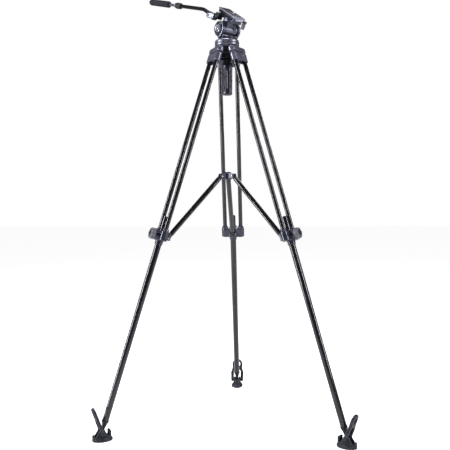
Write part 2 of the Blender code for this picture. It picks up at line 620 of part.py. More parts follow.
def build_handle(tilt, finishes):
    """Clamp on its rosette, bent tube, twist collar, telescoping rod and grip."""
    handle = empty("handle_axis", tilt, CLAMP_AT)
    neck_way = handle_direction(-NECK_RISE, 0)
    long_way = handle_direction(HANDLE_DROP, HANDLE_FLARE)
    neck_start = Vector((0, -2 * MM, 0))
    corner = neck_start + neck_way * HANDLE_NECK

    clamp = solid("handle_clamp", rod_y(13 * MM, -8 * MM, 7.3 * MM, (0, 0), 20), handle, finishes["plastic"])
    socket = swept([neck_start + neck_way * 11 * MM, neck_start + neck_way * 32 * MM], 9.5 * MM, 12)
    add(clamp, socket)
    cut(clamp, rod_y(4 * MM + GAP, -10 * MM, 10 * MM, (0, 0), 12))
    cut(clamp, swept([neck_start + neck_way * 14.5 * MM, neck_start + neck_way * 40 * MM],
                     HANDLE_TUBE_RADIUS + GAP, 14))

    knob_frame = empty("clamp_knob_axis", handle)
    profile = [(0, -18 * MM), (4 * MM, -18 * MM), (4 * MM, 8.4 * MM), (8 * MM, 8.4 * MM), (10 * MM, 11 * MM)]
    profile += [(9 * MM, 30 * MM), (7 * MM, 32 * MM), (0, 32 * MM)]
    clamp_knob = moved(turned(profile, 16), ALONG_Y, spin(180, "Z"))
    solid("handle_clamp_knob", clamp_knob, knob_frame, finishes["knob"])

    start = corner - neck_way * 14 * MM
    end = corner + long_way * 14 * MM
    steps = [k / 6 for k in range(7)]
    curve = [start * (1 - t) ** 2 + corner * 2 * t * (1 - t) + end * t ** 2 for t in steps]
    bend = [neck_start + neck_way * 15 * MM, *curve, corner + long_way * HANDLE_COLLAR_AT[0]]
    tube = solid("handle_tube", swept(bend, HANDLE_TUBE_RADIUS), handle, finishes["tube"])
    bore_start = corner + long_way * 25 * MM
    cut(tube, swept([bore_start, corner + long_way * 0.2], HANDLE_ROD_RADIUS + GAP))

    low, high = HANDLE_COLLAR_AT
    along = long_way.to_track_quat("Z", "Y").to_matrix().to_4x4()
    place_at = Matrix.Translation(corner)
    collar_profile = [(HANDLE_ROD_RADIUS + GAP, low + GAP), (11 * MM, low + GAP), (12 * MM, low + 4 * MM)]
    collar_profile += [(12 * MM, low + 20 * MM), (10 * MM, high), (HANDLE_ROD_RADIUS + GAP, high)]
    solid("handle_collar", moved(turned(collar_profile, 20), along, place_at), handle, finishes["plastic"])

    grip_low, grip_high = HANDLE_GRIP_AT
    bar = moved(rod(HANDLE_ROD_RADIUS, HANDLE_ROD_LOW, grip_high - 20 * MM, 14), along, place_at)
    solid("handle_rod", bar, handle, finishes["steel"])
    bore = HANDLE_ROD_RADIUS + GAP
    profile = [(bore, grip_low), (11.5 * MM, grip_low), (12.8 * MM, grip_low + 4 * MM)]
    profile += [(12.8 * MM, grip_high - 8 * MM), (9 * MM, grip_high), (0, grip_high)]
    profile += [(0, grip_high - 19 * MM), (bore, grip_high - 19 * MM)]
    grip = turned_with_pocket(profile, 20)
    solid("handle_grip", moved(grip, along, place_at), handle, finishes["rubber"])


def turned_with_pocket(profile, segments):
    """A turned solid whose profile starts and ends at a pocket's wall and touches the axis twice between."""
    shape = bmesh.new()
    rings = []
    for radius, height in profile:
        angles = [2 * math.pi * k / segments for k in range(segments if radius else 1)]
        rings.append([shape.verts.new((radius * math.cos(a), radius * math.sin(a), height)) for a in angles])
    for low, high in zip(rings, rings[1:] + rings[:1]):
        if len(low) == 1 and len(high) == 1:
            continue
        for k in range(segments):
            n = (k + 1) % segments
            corners = [low[k % len(low)], low[n % len(low)], high[n % len(high)], high[k % len(high)]]
            shape.faces.new(list(dict.fromkeys(corners)))
    return shape


# ---------------------------------------------------------------- assembly

def make_finishes():
    return {
        "casting": make_material("casting_blue_grey", (0.10, 0.11, 0.14), 0.42, 0.6),
        "plate": make_material("plate_grey", (0.30, 0.30, 0.34), 0.45, 0.7),
        "tube": make_material("tube_black", (0.02, 0.02, 0.028), 0.28, 0.6),
        "plastic": make_material("knob_plastic", (0.05, 0.05, 0.06), 0.5, 0),
        "knob": make_material("clamp_knob_grey", (0.35, 0.37, 0.42), 0.4, 0.3),
        "rubber": make_material("rubber_slate", (0.05, 0.055, 0.065), 0.7, 0),
        "steel": make_material("steel_bright", (0.5, 0.5, 0.52), 0.3, 1),
        "red": make_material("button_red", (0.35, 0.03, 0.03), 0.5, 0),
    }


def build():
    clear_scene()
    finishes = make_finishes()
    tripod = empty("tripod_axis", None, (0, AXIS_Y, 0))
    build_crown(tripod, finishes["casting"])
    ball_frame = build_bowl_clamp(tripod, finishes)
    for number, azimuth in enumerate(LEG_AZIMUTHS, 1):
        at = leg_matrix(azimuth).translation
        leg = empty(f"leg_axis_{number}", tripod, at, (0, -LEG_ANGLE, azimuth))
        tube_bottom = build_upper_leg(number, leg, finishes)
        build_collar(number, leg, tube_bottom, finishes)
        slide, pivot = build_lower_leg(number, leg, finishes)
        build_shoe(number, slide, pivot, finishes)
    build_spreader(tripod, finishes)
    pan = empty("pan_axis", ball_frame, (0, 0, 0), (0, 0, PAN_ANGLE))
    build_pan_body(pan, finishes)
    tilt = empty("tilt_axis", pan, (TILT_AXIS_X, 0, TILT_AXIS_HEIGHT), (0, TILT_DOWN, 0))
    build_tilt_body(tilt, finishes)
    build_plate(tilt, finishes)
    build_handle(tilt, finishes)


build()
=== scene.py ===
"""Looks of the video tripod with its fluid head: camera, studio, finishes and the detailed pieces."""

import json
import math

import bmesh
import bpy
from mathutils import Matrix, Vector


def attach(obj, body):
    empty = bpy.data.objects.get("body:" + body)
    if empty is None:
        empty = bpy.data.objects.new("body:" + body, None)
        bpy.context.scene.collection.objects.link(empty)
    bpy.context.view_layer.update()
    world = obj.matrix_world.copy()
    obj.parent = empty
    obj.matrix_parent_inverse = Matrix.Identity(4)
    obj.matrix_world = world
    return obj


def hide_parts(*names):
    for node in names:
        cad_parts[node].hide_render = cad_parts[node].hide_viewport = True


MM = 0.001
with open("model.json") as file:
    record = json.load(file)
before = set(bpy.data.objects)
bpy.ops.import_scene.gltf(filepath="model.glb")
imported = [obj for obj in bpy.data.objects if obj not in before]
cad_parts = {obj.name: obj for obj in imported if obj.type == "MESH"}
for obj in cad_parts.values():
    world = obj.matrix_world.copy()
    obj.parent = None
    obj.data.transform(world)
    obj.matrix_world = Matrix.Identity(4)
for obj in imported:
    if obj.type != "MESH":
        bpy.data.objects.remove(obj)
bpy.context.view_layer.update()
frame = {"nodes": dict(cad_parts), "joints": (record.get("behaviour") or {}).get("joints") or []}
JOINTS = {joint["name"]: joint for joint in frame["joints"]}

# Sizes shared by several pieces
TUBE_SPACING = 64.9 * MM
HALF_SPACING = TUBE_SPACING / 2
TUBE_RADIUS = 8 * MM
LOWER_RADIUS = 11.5 * MM
LEG_ANGLE = math.radians(17.98)
PIVOT_HEIGHT = 28 * MM
STRAP_LEAN = math.radians(20)
ARM_RUN = 214 * MM
ARM_RISE = 228 * MM
ARM_SLOPE = math.atan2(ARM_RISE, ARM_RUN)
ARM_LENGTH = math.hypot(ARM_RISE, ARM_RUN)
TILT_AXIS_HEIGHT = 40 * MM
GAP = 0.3 * MM


def mm(*sizes):
    """Sizes in millimetres, as a tuple in metres."""
    return tuple(size * MM for size in sizes)


# ---------------------------------------------------------------- camera and studio

FOCAL_LENGTH = 51.43
CAMERA_AT = (0.2008, -2.5357, 0.7972)
CAMERA_AIM = (-0.0872, 0.9962, -0.0226)
CAMERA_ROLL = -0.0035
KEY_AT = (2.9, -1.2, 1.9)
SIDE_AT = (-2.7, -1.1, 1.2)
OVERHEAD_AT = (-0.3, -0.5, 3.4)
BACK_AT = (0.4, 2.6, 2.0)
FLOOR_HALF = 30


def make_camera():
    camera = bpy.data.objects.new("camera", bpy.data.cameras.new("camera"))
    bpy.context.scene.collection.objects.link(camera)
    camera.data.sensor_width = 36
    camera.data.lens = FOCAL_LENGTH
    camera.location = CAMERA_AT
    aim = Vector(CAMERA_AIM).to_track_quat("-Z", "Y").to_matrix()
    camera.rotation_euler = (aim @ Matrix.Rotation(CAMERA_ROLL, 3, "Z")).to_euler()
    camera.data.clip_end = 60
    bpy.context.scene.camera = camera


def area_light(name, at, target, size, energy):
    lamp = bpy.data.objects.new(name, bpy.data.lights.new(name, "AREA"))
    lamp.data.shape = "RECTANGLE"
    lamp.data.size, lamp.data.size_y = size
    lamp.data.energy = energy
    lamp.location = at
    lamp.rotation_euler = (Vector(target) - Vector(at)).to_track_quat("-Z", "Y").to_euler()
    bpy.context.scene.collection.objects.link(lamp)


def make_studio():
    floor_mesh = bpy.data.meshes.new("studio_floor")
    half = FLOOR_HALF
    corners = [(-half, -half, 0), (half, -half, 0), (half, half, 0), (-half, half, 0)]
    floor_mesh.from_pydata(corners, [], [(0, 1, 2, 3)])
    floor = bpy.data.objects.new("studio_floor", floor_mesh)
    floor.location.z = -0.2 * MM
    bpy.context.scene.collection.objects.link(floor)
    paper = bpy.data.materials.new("studio_paper")
    paper.use_nodes = True
    shader = paper.node_tree.nodes["Principled BSDF"]
    shader.inputs["Base Color"].default_value = (0.95, 0.95, 0.96, 1)
    shader.inputs["Roughness"].default_value = 0.9
    shader.inputs["Emission Color"].default_value = (1, 1, 1, 1)
    seen_only(paper.node_tree, shader.inputs["Emission Strength"], 0.09, 0.86)
    floor_mesh.materials.append(paper)

    make_backdrop()
    area_light("key", KEY_AT, (0, -0.1, 0.9), (0.3, 2.8), 84)
    area_light("side_strip", SIDE_AT, (0, -0.1, 0.8), (0.3, 2.6), 100)
    area_light("overhead", OVERHEAD_AT, (0, -0.1, 1.2), (1.6, 0.4), 36)
    area_light("back", BACK_AT, (0, -0.1, 1.0), (1.4, 1.2), 22)


def make_backdrop():
    """White behind the tripod, dimmer in its reflections."""
    world = bpy.data.worlds.new("studio")
    bpy.context.scene.world = world
    bpy.context.scene.view_settings.view_transform = "Standard"
    world.use_nodes = True
    tree = world.node_tree
    background = tree.nodes["Background"]
    background.inputs["Color"].default_value = (1, 1, 1, 1)
    seen_only(tree, background.inputs["Strength"], 0.11, 1.0)


def seen_only(tree, socket, reflected, seen):
    """Drive a strength so the camera sees one value and the pieces mirror a dimmer one."""
    path = tree.nodes.new("ShaderNodeLightPath")
    strength = tree.nodes.new("ShaderNodeMapRange")
    strength.inputs["To Min"].default_value = reflected
    strength.inputs["To Max"].default_value = seen
    tree.links.new(path.outputs["Is Camera Ray"], strength.inputs["Value"])
    tree.links.new(strength.outputs["Result"], socket)


# ---------------------------------------------------------------- finishes

class Finish:
    """A Principled material with patterns laid in each piece's own coordinates."""

    def __init__(self, name, colour, roughness, metallic=0.0, coat=0.0, specular=0.5):
        self.material = bpy.data.materials.new(name)
        self.material.use_nodes = True
        self.tree = self.material.node_tree
        self.shader = self.tree.nodes["Principled BSDF"]
        self.shader.inputs["Base Color"].default_value = (*colour, 1)
        self.shader.inputs["Roughness"].default_value = roughness
        self.shader.inputs["Metallic"].default_value = metallic
        self.shader.inputs["Coat Weight"].default_value = coat
        self.shader.inputs["Coat Roughness"].default_value = 0.12
        self.shader.inputs["Specular IOR Level"].default_value = specular
        self.coords = self.tree.nodes.new("ShaderNodeTexCoord")

    def node(self, kind, **values):
        node = self.tree.nodes.new(kind)
        for key, value in values.items():
            setattr(node, key, value)
        return node

    def stretched(self, scale):
        mapping = self.node("ShaderNodeMapping")
        mapping.inputs["Scale"].default_value = scale
        self.tree.links.new(self.coords.outputs["Object"], mapping.inputs["Vector"])
        return mapping.outputs["Vector"]

    def noise(self, scale, detail=3, stretch=(1, 1, 1), roughness=0.55):
        noise = self.node("ShaderNodeTexNoise")
        noise.inputs["Scale"].default_value = scale
        noise.inputs["Detail"].default_value = detail
        noise.inputs["Roughness"].default_value = roughness
        self.tree.links.new(self.stretched(stretch), noise.inputs["Vector"])
        return noise.outputs["Fac"]

    def cells(self, scale, stretch=(1, 1, 1)):
        cells = self.node("ShaderNodeTexVoronoi")
        cells.inputs["Scale"].default_value = scale
        self.tree.links.new(self.stretched(stretch), cells.inputs["Vector"])
        return cells.outputs["Distance"]

    def ring_noise(self, scale):
        """Turning marks: noise that depends on the distance from the local Z axis only."""
        split = self.node("ShaderNodeSeparateXYZ")
        self.tree.links.new(self.coords.outputs["Object"], split.inputs[0])
        squares = []
        for axis in ("X", "Y"):
            square = self.node("ShaderNodeMath", operation="MULTIPLY")
            self.tree.links.new(split.outputs[axis], square.inputs[0])
            self.tree.links.new(split.outputs[axis], square.inputs[1])
            squares.append(square)
        total = self.node("ShaderNodeMath", operation="ADD")
        self.tree.links.new(squares[0].outputs[0], total.inputs[0])
        self.tree.links.new(squares[1].outputs[0], total.inputs[1])
        root = self.node("ShaderNodeMath", operation="SQRT")
        self.tree.links.new(total.outputs[0], root.inputs[0])
        noise = self.node("ShaderNodeTexNoise", noise_dimensions="1D")
        noise.inputs["Scale"].default_value = scale
        noise.inputs["Detail"].default_value = 2
        self.tree.links.new(root.outputs[0], noise.inputs["W"])
        return noise.outputs["Fac"]

    def worn_edges(self):
        """High on outward edges."""
        geometry = self.node("ShaderNodeNewGeometry")
        return self.spread(geometry.outputs["Pointiness"], 0.52, 0.62)

    def spread(self, value, low, high, to_low=0.0, to_high=1.0):
        ranged = self.node("ShaderNodeMapRange")
        for key, number in (("From Min", low), ("From Max", high), ("To Min", to_low), ("To Max", to_high)):
            ranged.inputs[key].default_value = number
        self.tree.links.new(value, ranged.inputs["Value"])
        return ranged.outputs["Result"]

    def blend(self, first, second, amount):
        """Mix two colours, each a tuple or a socket, by a socket from 0 to 1."""
        mix = self.node("ShaderNodeMix", data_type="RGBA")
        self.tree.links.new(amount, mix.inputs["Factor"])
        for key, colour in ((6, first), (7, second)):
            if isinstance(colour, tuple):
                mix.inputs[key].default_value = (*colour, 1)
            else:
                self.tree.links.new(colour, mix.inputs[key])
        return mix.outputs[2]

    def colour(self, socket):
        self.tree.links.new(socket, self.shader.inputs["Base Color"])
        return self

    def rough(self, socket, low, high):
        self.tree.links.new(self.spread(socket, 0.3, 0.7, low, high), self.shader.inputs["Roughness"])
        return self

    def bump(self, *layers):
        """Layers of (height socket, strength, distance in metres)."""
        normal = None
        for socket, strength, distance in layers:
            bump = self.node("ShaderNodeBump")
            bump.inputs["Strength"].default_value = strength
            bump.inputs["Distance"].default_value = distance
            self.tree.links.new(socket, bump.inputs["Height"])
            if normal is not None:
                self.tree.links.new(normal, bump.inputs["Normal"])
            normal = bump.outputs["Normal"]
        self.tree.links.new(normal, self.shader.inputs["Normal"])
        return self


def painted_casting(name, dark, light, roughness, metallic=0.35, coat=0.15):
    """Satin paint over cast metal: faint clouding, fine orange peel, edges rubbed a little brighter."""
    finish = Finish(name, dark, roughness, metallic, coat)
    cloud = finish.spread(finish.noise(38, 4), 0.35, 0.7)
    base = finish.blend(dark, light, cloud)
    rubbed = tuple(min(1.0, c * 2.2 + 0.05) for c in light)
    finish.colour(finish.blend(base, rubbed, finish.worn_edges()))
    finish.rough(finish.noise(420, 2), roughness - 0.07, roughness + 0.1)
    finish.bump((finish.noise(900, 2), 0.13, 0.2 * MM), (finish.noise(60, 3), 0.07, 0.3 * MM))
    return finish.material


def drawn_tube(name, dark, light, roughness=0.19):
    """Anodised drawn tube: fine lines along its length and slight scuffs."""
    finish = Finish(name, dark, roughness, 0.6, 0.9)
    lines = finish.noise(1, 3, (900, 900, 6))
    scuffs = finish.spread(finish.noise(55, 5, (1, 1, 0.35)), 0.55, 0.75)
    base = finish.blend(dark, light, finish.spread(lines, 0.35, 0.65))
    finish.colour(finish.blend(base, tuple(c * 1.8 + 0.012 for c in light), scuffs))
    finish.rough(lines, roughness - 0.05, roughness + 0.1)
    finish.bump((lines, 0.12, 0.08 * MM), (finish.noise(240, 3), 0.05, 0.1 * MM))
    return finish.material


def moulded_plastic(name, dark, light, roughness=0.42, grain=1500, coat=0.0):
    finish = Finish(name, dark, roughness, 0.0, coat)
    finish.colour(finish.blend(dark, light, finish.spread(finish.noise(120, 4), 0.35, 0.7)))
    finish.rough(finish.noise(500, 2), roughness - 0.08, roughness + 0.12)
    finish.bump((finish.cells(grain), 0.14, 0.12 * MM), (finish.noise(90, 3), 0.05, 0.25 * MM))
    return finish.material


def dusty_rubber(name, dark, light, roughness=0.68):
    finish = Finish(name, dark, roughness, 0.0, 0.0, 0.35)
    dust = finish.spread(finish.noise(70, 5), 0.42, 0.75)
    base = finish.blend(dark, light, dust)
    finish.colour(finish.blend(base, tuple(c * 1.5 + 0.02 for c in light), finish.worn_edges()))
    finish.rough(finish.noise(300, 3), roughness - 0.1, roughness + 0.14)
    finish.bump((finish.noise(1100, 3), 0.4, 0.2 * MM), (finish.noise(140, 4), 0.18, 0.4 * MM))
    return finish.material


def turned_metal(name, dark, light, roughness=0.26, metallic=1.0):
    finish = Finish(name, light, roughness, metallic)
    rings = finish.ring_noise(2600)
    marks = finish.noise(260, 3, (1, 1, 5))
    finish.colour(finish.blend(dark, light, finish.spread(rings, 0.3, 0.6)))
    finish.rough(marks, roughness - 0.07, roughness + 0.12)
    finish.bump((rings, 0.18, 0.05 * MM), (marks, 0.08, 0.08 * MM))
    return finish.material


def make_finishes():
    return {
        "casting": painted_casting("painted_casting", (0.030, 0.033, 0.052), (0.060, 0.065, 0.096),
                                   0.27, 0.6, 0.3),
        "grey": painted_casting("painted_grey", (0.115, 0.115, 0.165), (0.185, 0.185, 0.255), 0.3, 0.6, 0.25),
        "pale": painted_casting("pale_machined", (0.15, 0.155, 0.21), (0.24, 0.245, 0.32), 0.36, 0.75, 0.1),
        "dark": painted_casting("dark_casting", (0.004, 0.004, 0.006), (0.009, 0.009, 0.012), 0.42, 0.2, 0.1),
        "tube": drawn_tube("black_tube", (0.004, 0.004, 0.007), (0.011, 0.011, 0.019)),
        "plastic": moulded_plastic("black_plastic", (0.006, 0.006, 0.008), (0.014, 0.014, 0.019)),
        "knob": moulded_plastic("grey_knob_plastic", (0.105, 0.105, 0.135), (0.17, 0.17, 0.22), 0.4),
        "tie": painted_casting("black_knob_plastic", (0.016, 0.016, 0.027), (0.030, 0.030, 0.048),
                               0.27, 0.6, 0.2),
        # tilt: the casting paint made darker, as painted shade on the release base under the camera plate
        "tilt": painted_casting("casting_with_painted_under_plate_shade", (0.011, 0.012, 0.020), (0.022, 0.024, 0.038), 0.27, 0.6, 0.3),
        "silver_knob": turned_metal("silver_knob_metal", (0.30, 0.34, 0.44), (0.56, 0.61, 0.76), 0.26, 0.85),
        "rubber": dusty_rubber("slate_rubber", (0.014, 0.016, 0.024), (0.042, 0.048, 0.066), 0.52),
        "pad": dusty_rubber("pad_rubber", (0.006, 0.006, 0.007), (0.016, 0.016, 0.018), 0.8),
        "grip": dusty_rubber("grip_foam", (0.005, 0.004, 0.009), (0.014, 0.012, 0.022), 0.6),
        "steel": turned_metal("bright_steel", (0.30, 0.30, 0.33), (0.52, 0.52, 0.57)),
        "rod": turned_metal("extension_rod_metal", (0.16, 0.17, 0.21), (0.30, 0.31, 0.37), 0.28),
        "plate": painted_casting("plate_anodised", (0.13, 0.13, 0.17), (0.22, 0.22, 0.28), 0.34, 0.6),
        "dial": turned_metal("dial_metal", (0.30, 0.33, 0.43), (0.56, 0.60, 0.74), 0.24, 0.9),
        "red": moulded_plastic("red_plastic", (0.30, 0.012, 0.010), (0.42, 0.022, 0.018), 0.35, 1500, 0.3),
    }


FINISHES = make_finishes()
# The CAD material slot that each finish usually stands for
SLOTS = {
    "red": "button_red",
    "pale": "casting_blue_grey", "grey": "casting_blue_grey", "dark": "casting_blue_grey",
    "casting": "casting_blue_grey",
    "silver_knob": "clamp_knob_grey",
    "plastic": "knob_plastic", "tie": "knob_plastic", "knob": "knob_plastic",
    "dial": "plate_grey", "tilt": "plate_grey", "plate": "plate_grey",
    "rubber": "rubber_slate", "pad": "rubber_slate", "grip": "rubber_slate",
    "steel": "steel_bright", "rod": "steel_bright",
    "tube": "tube_black",
}


# ---------------------------------------------------------------- shapes

def rounded(points, radius, closed=False, steps=4):
    """The line through points with its corners turned to arcs. radius is one number or one per point."""
    count = len(points)
    radii = radius if isinstance(radius, (list, tuple)) else [radius] * count
    line = []
    for k, (x, y) in enumerate(points):
        corner = Vector((x, y))
        if radii[k] <= 0 or (not closed and k in (0, count - 1)):
            line.append((x, y))
            continue
        before = Vector(points[k - 1]) - corner
        after = Vector(points[(k + 1) % count]) - corner
        if min(before.length, after.length) < 1e-7:
            line.append((x, y))
            continue
        angle = before.angle(after)
        reach = radii[k] / max(math.tan(angle / 2), 0.05)
        reach = min(reach, 0.48 * before.length, 0.48 * after.length)
        start = corner + before.normalized() * reach
        end = corner + after.normalized() * reach
        for j in range(steps + 1):
            t = j / steps
            point = start * (1 - t) ** 2 + corner * 2 * t * (1 - t) + end * t ** 2
            line.append((point.x, point.y))
    return line


def arc(centre, radius, start, end, steps):
    angles = [math.radians(start + (end - start) * k / steps) for k in range(steps + 1)]
    return [(centre[0] + radius * math.cos(a), centre[1] + radius * math.sin(a)) for a in angles]


def ellipse(centre_x, half_x, half_y, steps=64):
    angles = [2 * math.pi * k / steps for k in range(steps)]
    return [(centre_x + half_x * math.cos(a), half_y * math.sin(a)) for a in angles]


def stadium(radius, half, steps=16):
    return arc((0, half), radius, 0, 180, steps) + arc((0, -half), radius, 180, 360, steps)


def rectangle(x, y, radius):
    return rounded([(x[0], y[0]), (x[1], y[0]), (x[1], y[1]), (x[0], y[1])], radius, True)


def lathe(profile, segments=48, flutes=None):
    """A turned solid about Z. A profile off the axis at both ends closes on itself.

    flutes is (count, depth, low, high, sharpness): grooves along the axis that fade out at both ends.
    """
    shape = bmesh.new()
    rings = []
    for radius, height in profile:
        if radius < 1e-7:
            rings.append([shape.verts.new((0, 0, height))])
            continue
        ring = []
        for k in range(segments):
            a = 2 * math.pi * k / segments
            r = radius
            if flutes:
                count, depth, low, high, sharpness = flutes
                fade = min(1.0, max(0.0, (height - low) / (4 * depth)),
                           max(0.0, (high - height) / (4 * depth)))
                wave = abs(math.cos(count * a / 2)) ** sharpness
                r -= depth * fade * wave
            ring.append(shape.verts.new((r * math.cos(a), r * math.sin(a), height)))
        rings.append(ring)
    pairs = list(zip(rings, rings[1:]))
    if len(rings[0]) > 1 and len(rings[-1]) > 1:
        pairs.append((rings[-1], rings[0]))
    for low, high in pairs:
        for k in range(segments):
            n = (k + 1) % segments
            corners = [low[k % len(low)], low[n % len(low)], high[n % len(high)], high[k % len(high)]]
            corners = list(dict.fromkeys(corners))
            if len(corners) > 2:
                shape.faces.new(corners)
    return shape


def rod(radius, low, high, segments=32, edge=0.4 * MM):
    return lathe(rounded([(0, low), (radius, low), (radius, high), (0, high)], edge), segments)


def pipe(outer, inner, low, high, segments=40, edge=0.4 * MM):
    section = [(inner, low), (outer, low), (outer, high), (inner, high)]
    return lathe(rounded(section, edge, True, 3), segments)


def slab(outline, low, high, edge=1 * MM, steps=3):
    """A flat outline raised along Z, with rounded rims."""
    shape = bmesh.new()
    area = sum(a[0] * b[1] - b[0] * a[1] for a, b in zip(outline, outline[1:] + outline[:1]))
    if area < 0:
        outline = outline[::-1]
    count = len(outline)
    normals = []
    for k in range(count):
        before, after = Vector(outline[k - 1]), Vector(outline[(k + 1) % count])
        along = (after - before).normalized()
        normals.append(Vector((along.y, -along.x)))
    turns = [math.pi / 2 * k / steps for k in range(steps + 1)]
    levels = [(low + edge * (1 - math.cos(a)), edge * (1 - math.sin(a))) for a in turns]
    levels += [(high - (z - low), inset) for z, inset in reversed(levels)]
    rings = []
    for z, inset in levels:
        rings.append([
            shape.verts.new((p[0] - n.x * inset, p[1] - n.y * inset, z)) for p, n in zip(outline, normals)
        ])
    shape.faces.new(rings[0][::-1])
    shape.faces.new(rings[-1])
    for below, above in zip(rings, rings[1:]):
        for k in range(count):
            n = (k + 1) % count
            shape.faces.new((below[k], below[n], above[n], above[k]))
    return shape


def box(x, y, z, edge=1 * MM, corner=None):
    outline = rectangle(x, y, corner if corner is not None else edge)
    return slab(outline, z[0], z[1], edge)


def sweep(points, radius, segments=32, up=(0, 1, 0)):
    shape = bmesh.new()
    rings = []
    for k, point in enumerate(points):
        direction = (points[min(k + 1, len(points) - 1)] - points[max(k - 1, 0)]).normalized()
        side = Vector(up).cross(direction).normalized()
        other = direction.cross(side)
        r = radius[k] if isinstance(radius, (list, tuple)) else radius
        angles = [2 * math.pi * j / segments for j in range(segments)]
        rings.append([shape.verts.new(point + r * (math.cos(a) * side + math.sin(a) * other))
                      for a in angles])
    for low, high in zip(rings, rings[1:]):
        for j in range(segments):
            n = (j + 1) % segments
            shape.faces.new((low[j], low[n], high[n], high[j]))
    shape.faces.new(rings[0][::-1])
    shape.faces.new(rings[-1])
    return shape


def moved(shape, *matrices):
    for matrix in matrices:
        shape.transform(matrix)
    return shape


def shift(x=0, y=0, z=0):
    return Matrix.Translation((x, y, z))


def spin(degrees, axis):
    return Matrix.Rotation(math.radians(degrees), 4, axis)


ALONG_Y = spin(-90, "X")
ALONG_X = spin(90, "Y")
ACROSS_X = Matrix(((0, 0, 1, 0), (1, 0, 0, 0), (0, 1, 0, 0), (0, 0, 0, 1)))
UPRIGHT_XZ = Matrix(((1, 0, 0, 0), (0, 0, 1, 0), (0, 1, 0, 0), (0, 0, 0, 1)))


def rod_y(radius, low, high, at=(0, 0), segments=32, edge=0.4 * MM):
    return moved(rod(radius, low, high, segments, edge), ALONG_Y, shift(at[0], 0, at[1]))


def joined(shapes):
    """Several shapes as one mesh datablock."""
    total = bmesh.new()
    for shape in shapes:
        bmesh.ops.recalc_face_normals(shape, faces=shape.faces)
        part = bpy.data.meshes.new("part")
        shape.to_mesh(part)
        shape.free()
        total.from_mesh(part)
        bpy.data.meshes.remove(part)
    mesh = bpy.data.meshes.new("piece")
    total.to_mesh(mesh)
    total.free()
    return mesh


def put(name, mesh, body, finish, place=Matrix.Identity(4), replaces=(), crease=32, slot=None):
    """One visible piece, from a mesh or a single shape, riding on a body of the frame."""
    if isinstance(mesh, bmesh.types.BMesh):
        mesh = joined([mesh])
    mesh.name = name
    mesh.shade_smooth()
    mesh.set_sharp_from_angle(angle=math.radians(crease))
    mesh.materials.clear()
    mesh.materials.append(FINISHES[finish])
    piece = bpy.data.objects.new(name, mesh)
    bpy.context.scene.collection.objects.link(piece)
    piece.matrix_world = place
    slot = slot or SLOTS[finish]
    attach(piece, body)
    if replaces:
        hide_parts(*replaces)
    return piece


def evaluated(piece):
    bpy.context.view_layer.update()
    graph = bpy.context.evaluated_depsgraph_get()
    mesh = bpy.data.meshes.new_from_object(piece.evaluated_get(graph))
    bpy.data.objects.remove(piece)
    return mesh


def carved(adds, cuts=(), voxel=None, smoothing=6, keep=0.5):
    """One closed mesh from added and cut shapes. With a voxel size its creases are softened."""
    base = bpy.data.objects.new("carving", joined([adds[0]]))
    bpy.context.scene.collection.objects.link(base)
    tools = []
    for shapes, operation in ((adds[1:], "UNION"), (cuts, "DIFFERENCE")):
        for shape in shapes:
            tool = bpy.data.objects.new("tool", joined([shape]))
            bpy.context.scene.collection.objects.link(tool)
            step = base.modifiers.new("step", "BOOLEAN")
            step.operation = operation
            step.solver = "MANIFOLD"
            step.object = tool
            tools.append(tool)
    if voxel:
        remesh = base.modifiers.new("cast", "REMESH")
        remesh.mode = "VOXEL"
        remesh.voxel_size = voxel
        soften = base.modifiers.new("soften", "SMOOTH")
        soften.factor = 0.5
        soften.iterations = smoothing
        if keep < 1:
            thin = base.modifiers.new("thin", "DECIMATE")
            thin.ratio = keep
    mesh = evaluated(base)
    for tool in tools:
        bpy.data.objects.remove(tool)
    return mesh


# ---------------------------------------------------------------- joint frames

def axes_frame(origin, y, z):
    """A frame with the given Y axis and, as near as it allows, Z axis."""
    y = Vector(y).normalized()
    x = y.cross(Vector(z)).normalized()
    z = x.cross(y)
    turn = Matrix((x, y, z)).transposed().to_4x4()
    return Matrix.Translation(origin) @ turn


def leg_frame(number):
    fold, slide = JOINTS[f"leg_{number}_fold"], JOINTS[f"lower_leg_{number}_slide"]
    return axes_frame(fold["pos_m"], fold["axis"], slide["axis"])


def local_height(place, point):
    return (place.inverted() @ Vector(point)).z


def level_frame():
    return Matrix.Translation(JOINTS["pan"]["pos_m"])


def pan_frame():
    across = -Vector(JOINTS["tilt"]["axis"])
    return axes_frame(JOINTS["pan"]["pos_m"], across, (0, 0, 1))


def tilt_frame():
    across = -Vector(JOINTS["tilt"]["axis"])
    forward = Vector(JOINTS["plate_slide"]["axis"])
    return axes_frame(JOINTS["tilt"]["pos_m"], across, forward.cross(across))


# ---------------------------------------------------------------- crown and bowl clamp

BOWL_RADIUS = 37.5 * MM
BOWL_OUTER = 42.5 * MM


def crown_leg_frames():
    """Each leg's frame, seen from the crown's flange top."""
    lift = level_frame().inverted()
    return [lift @ leg_frame(number) for number in (1, 2, 3)]


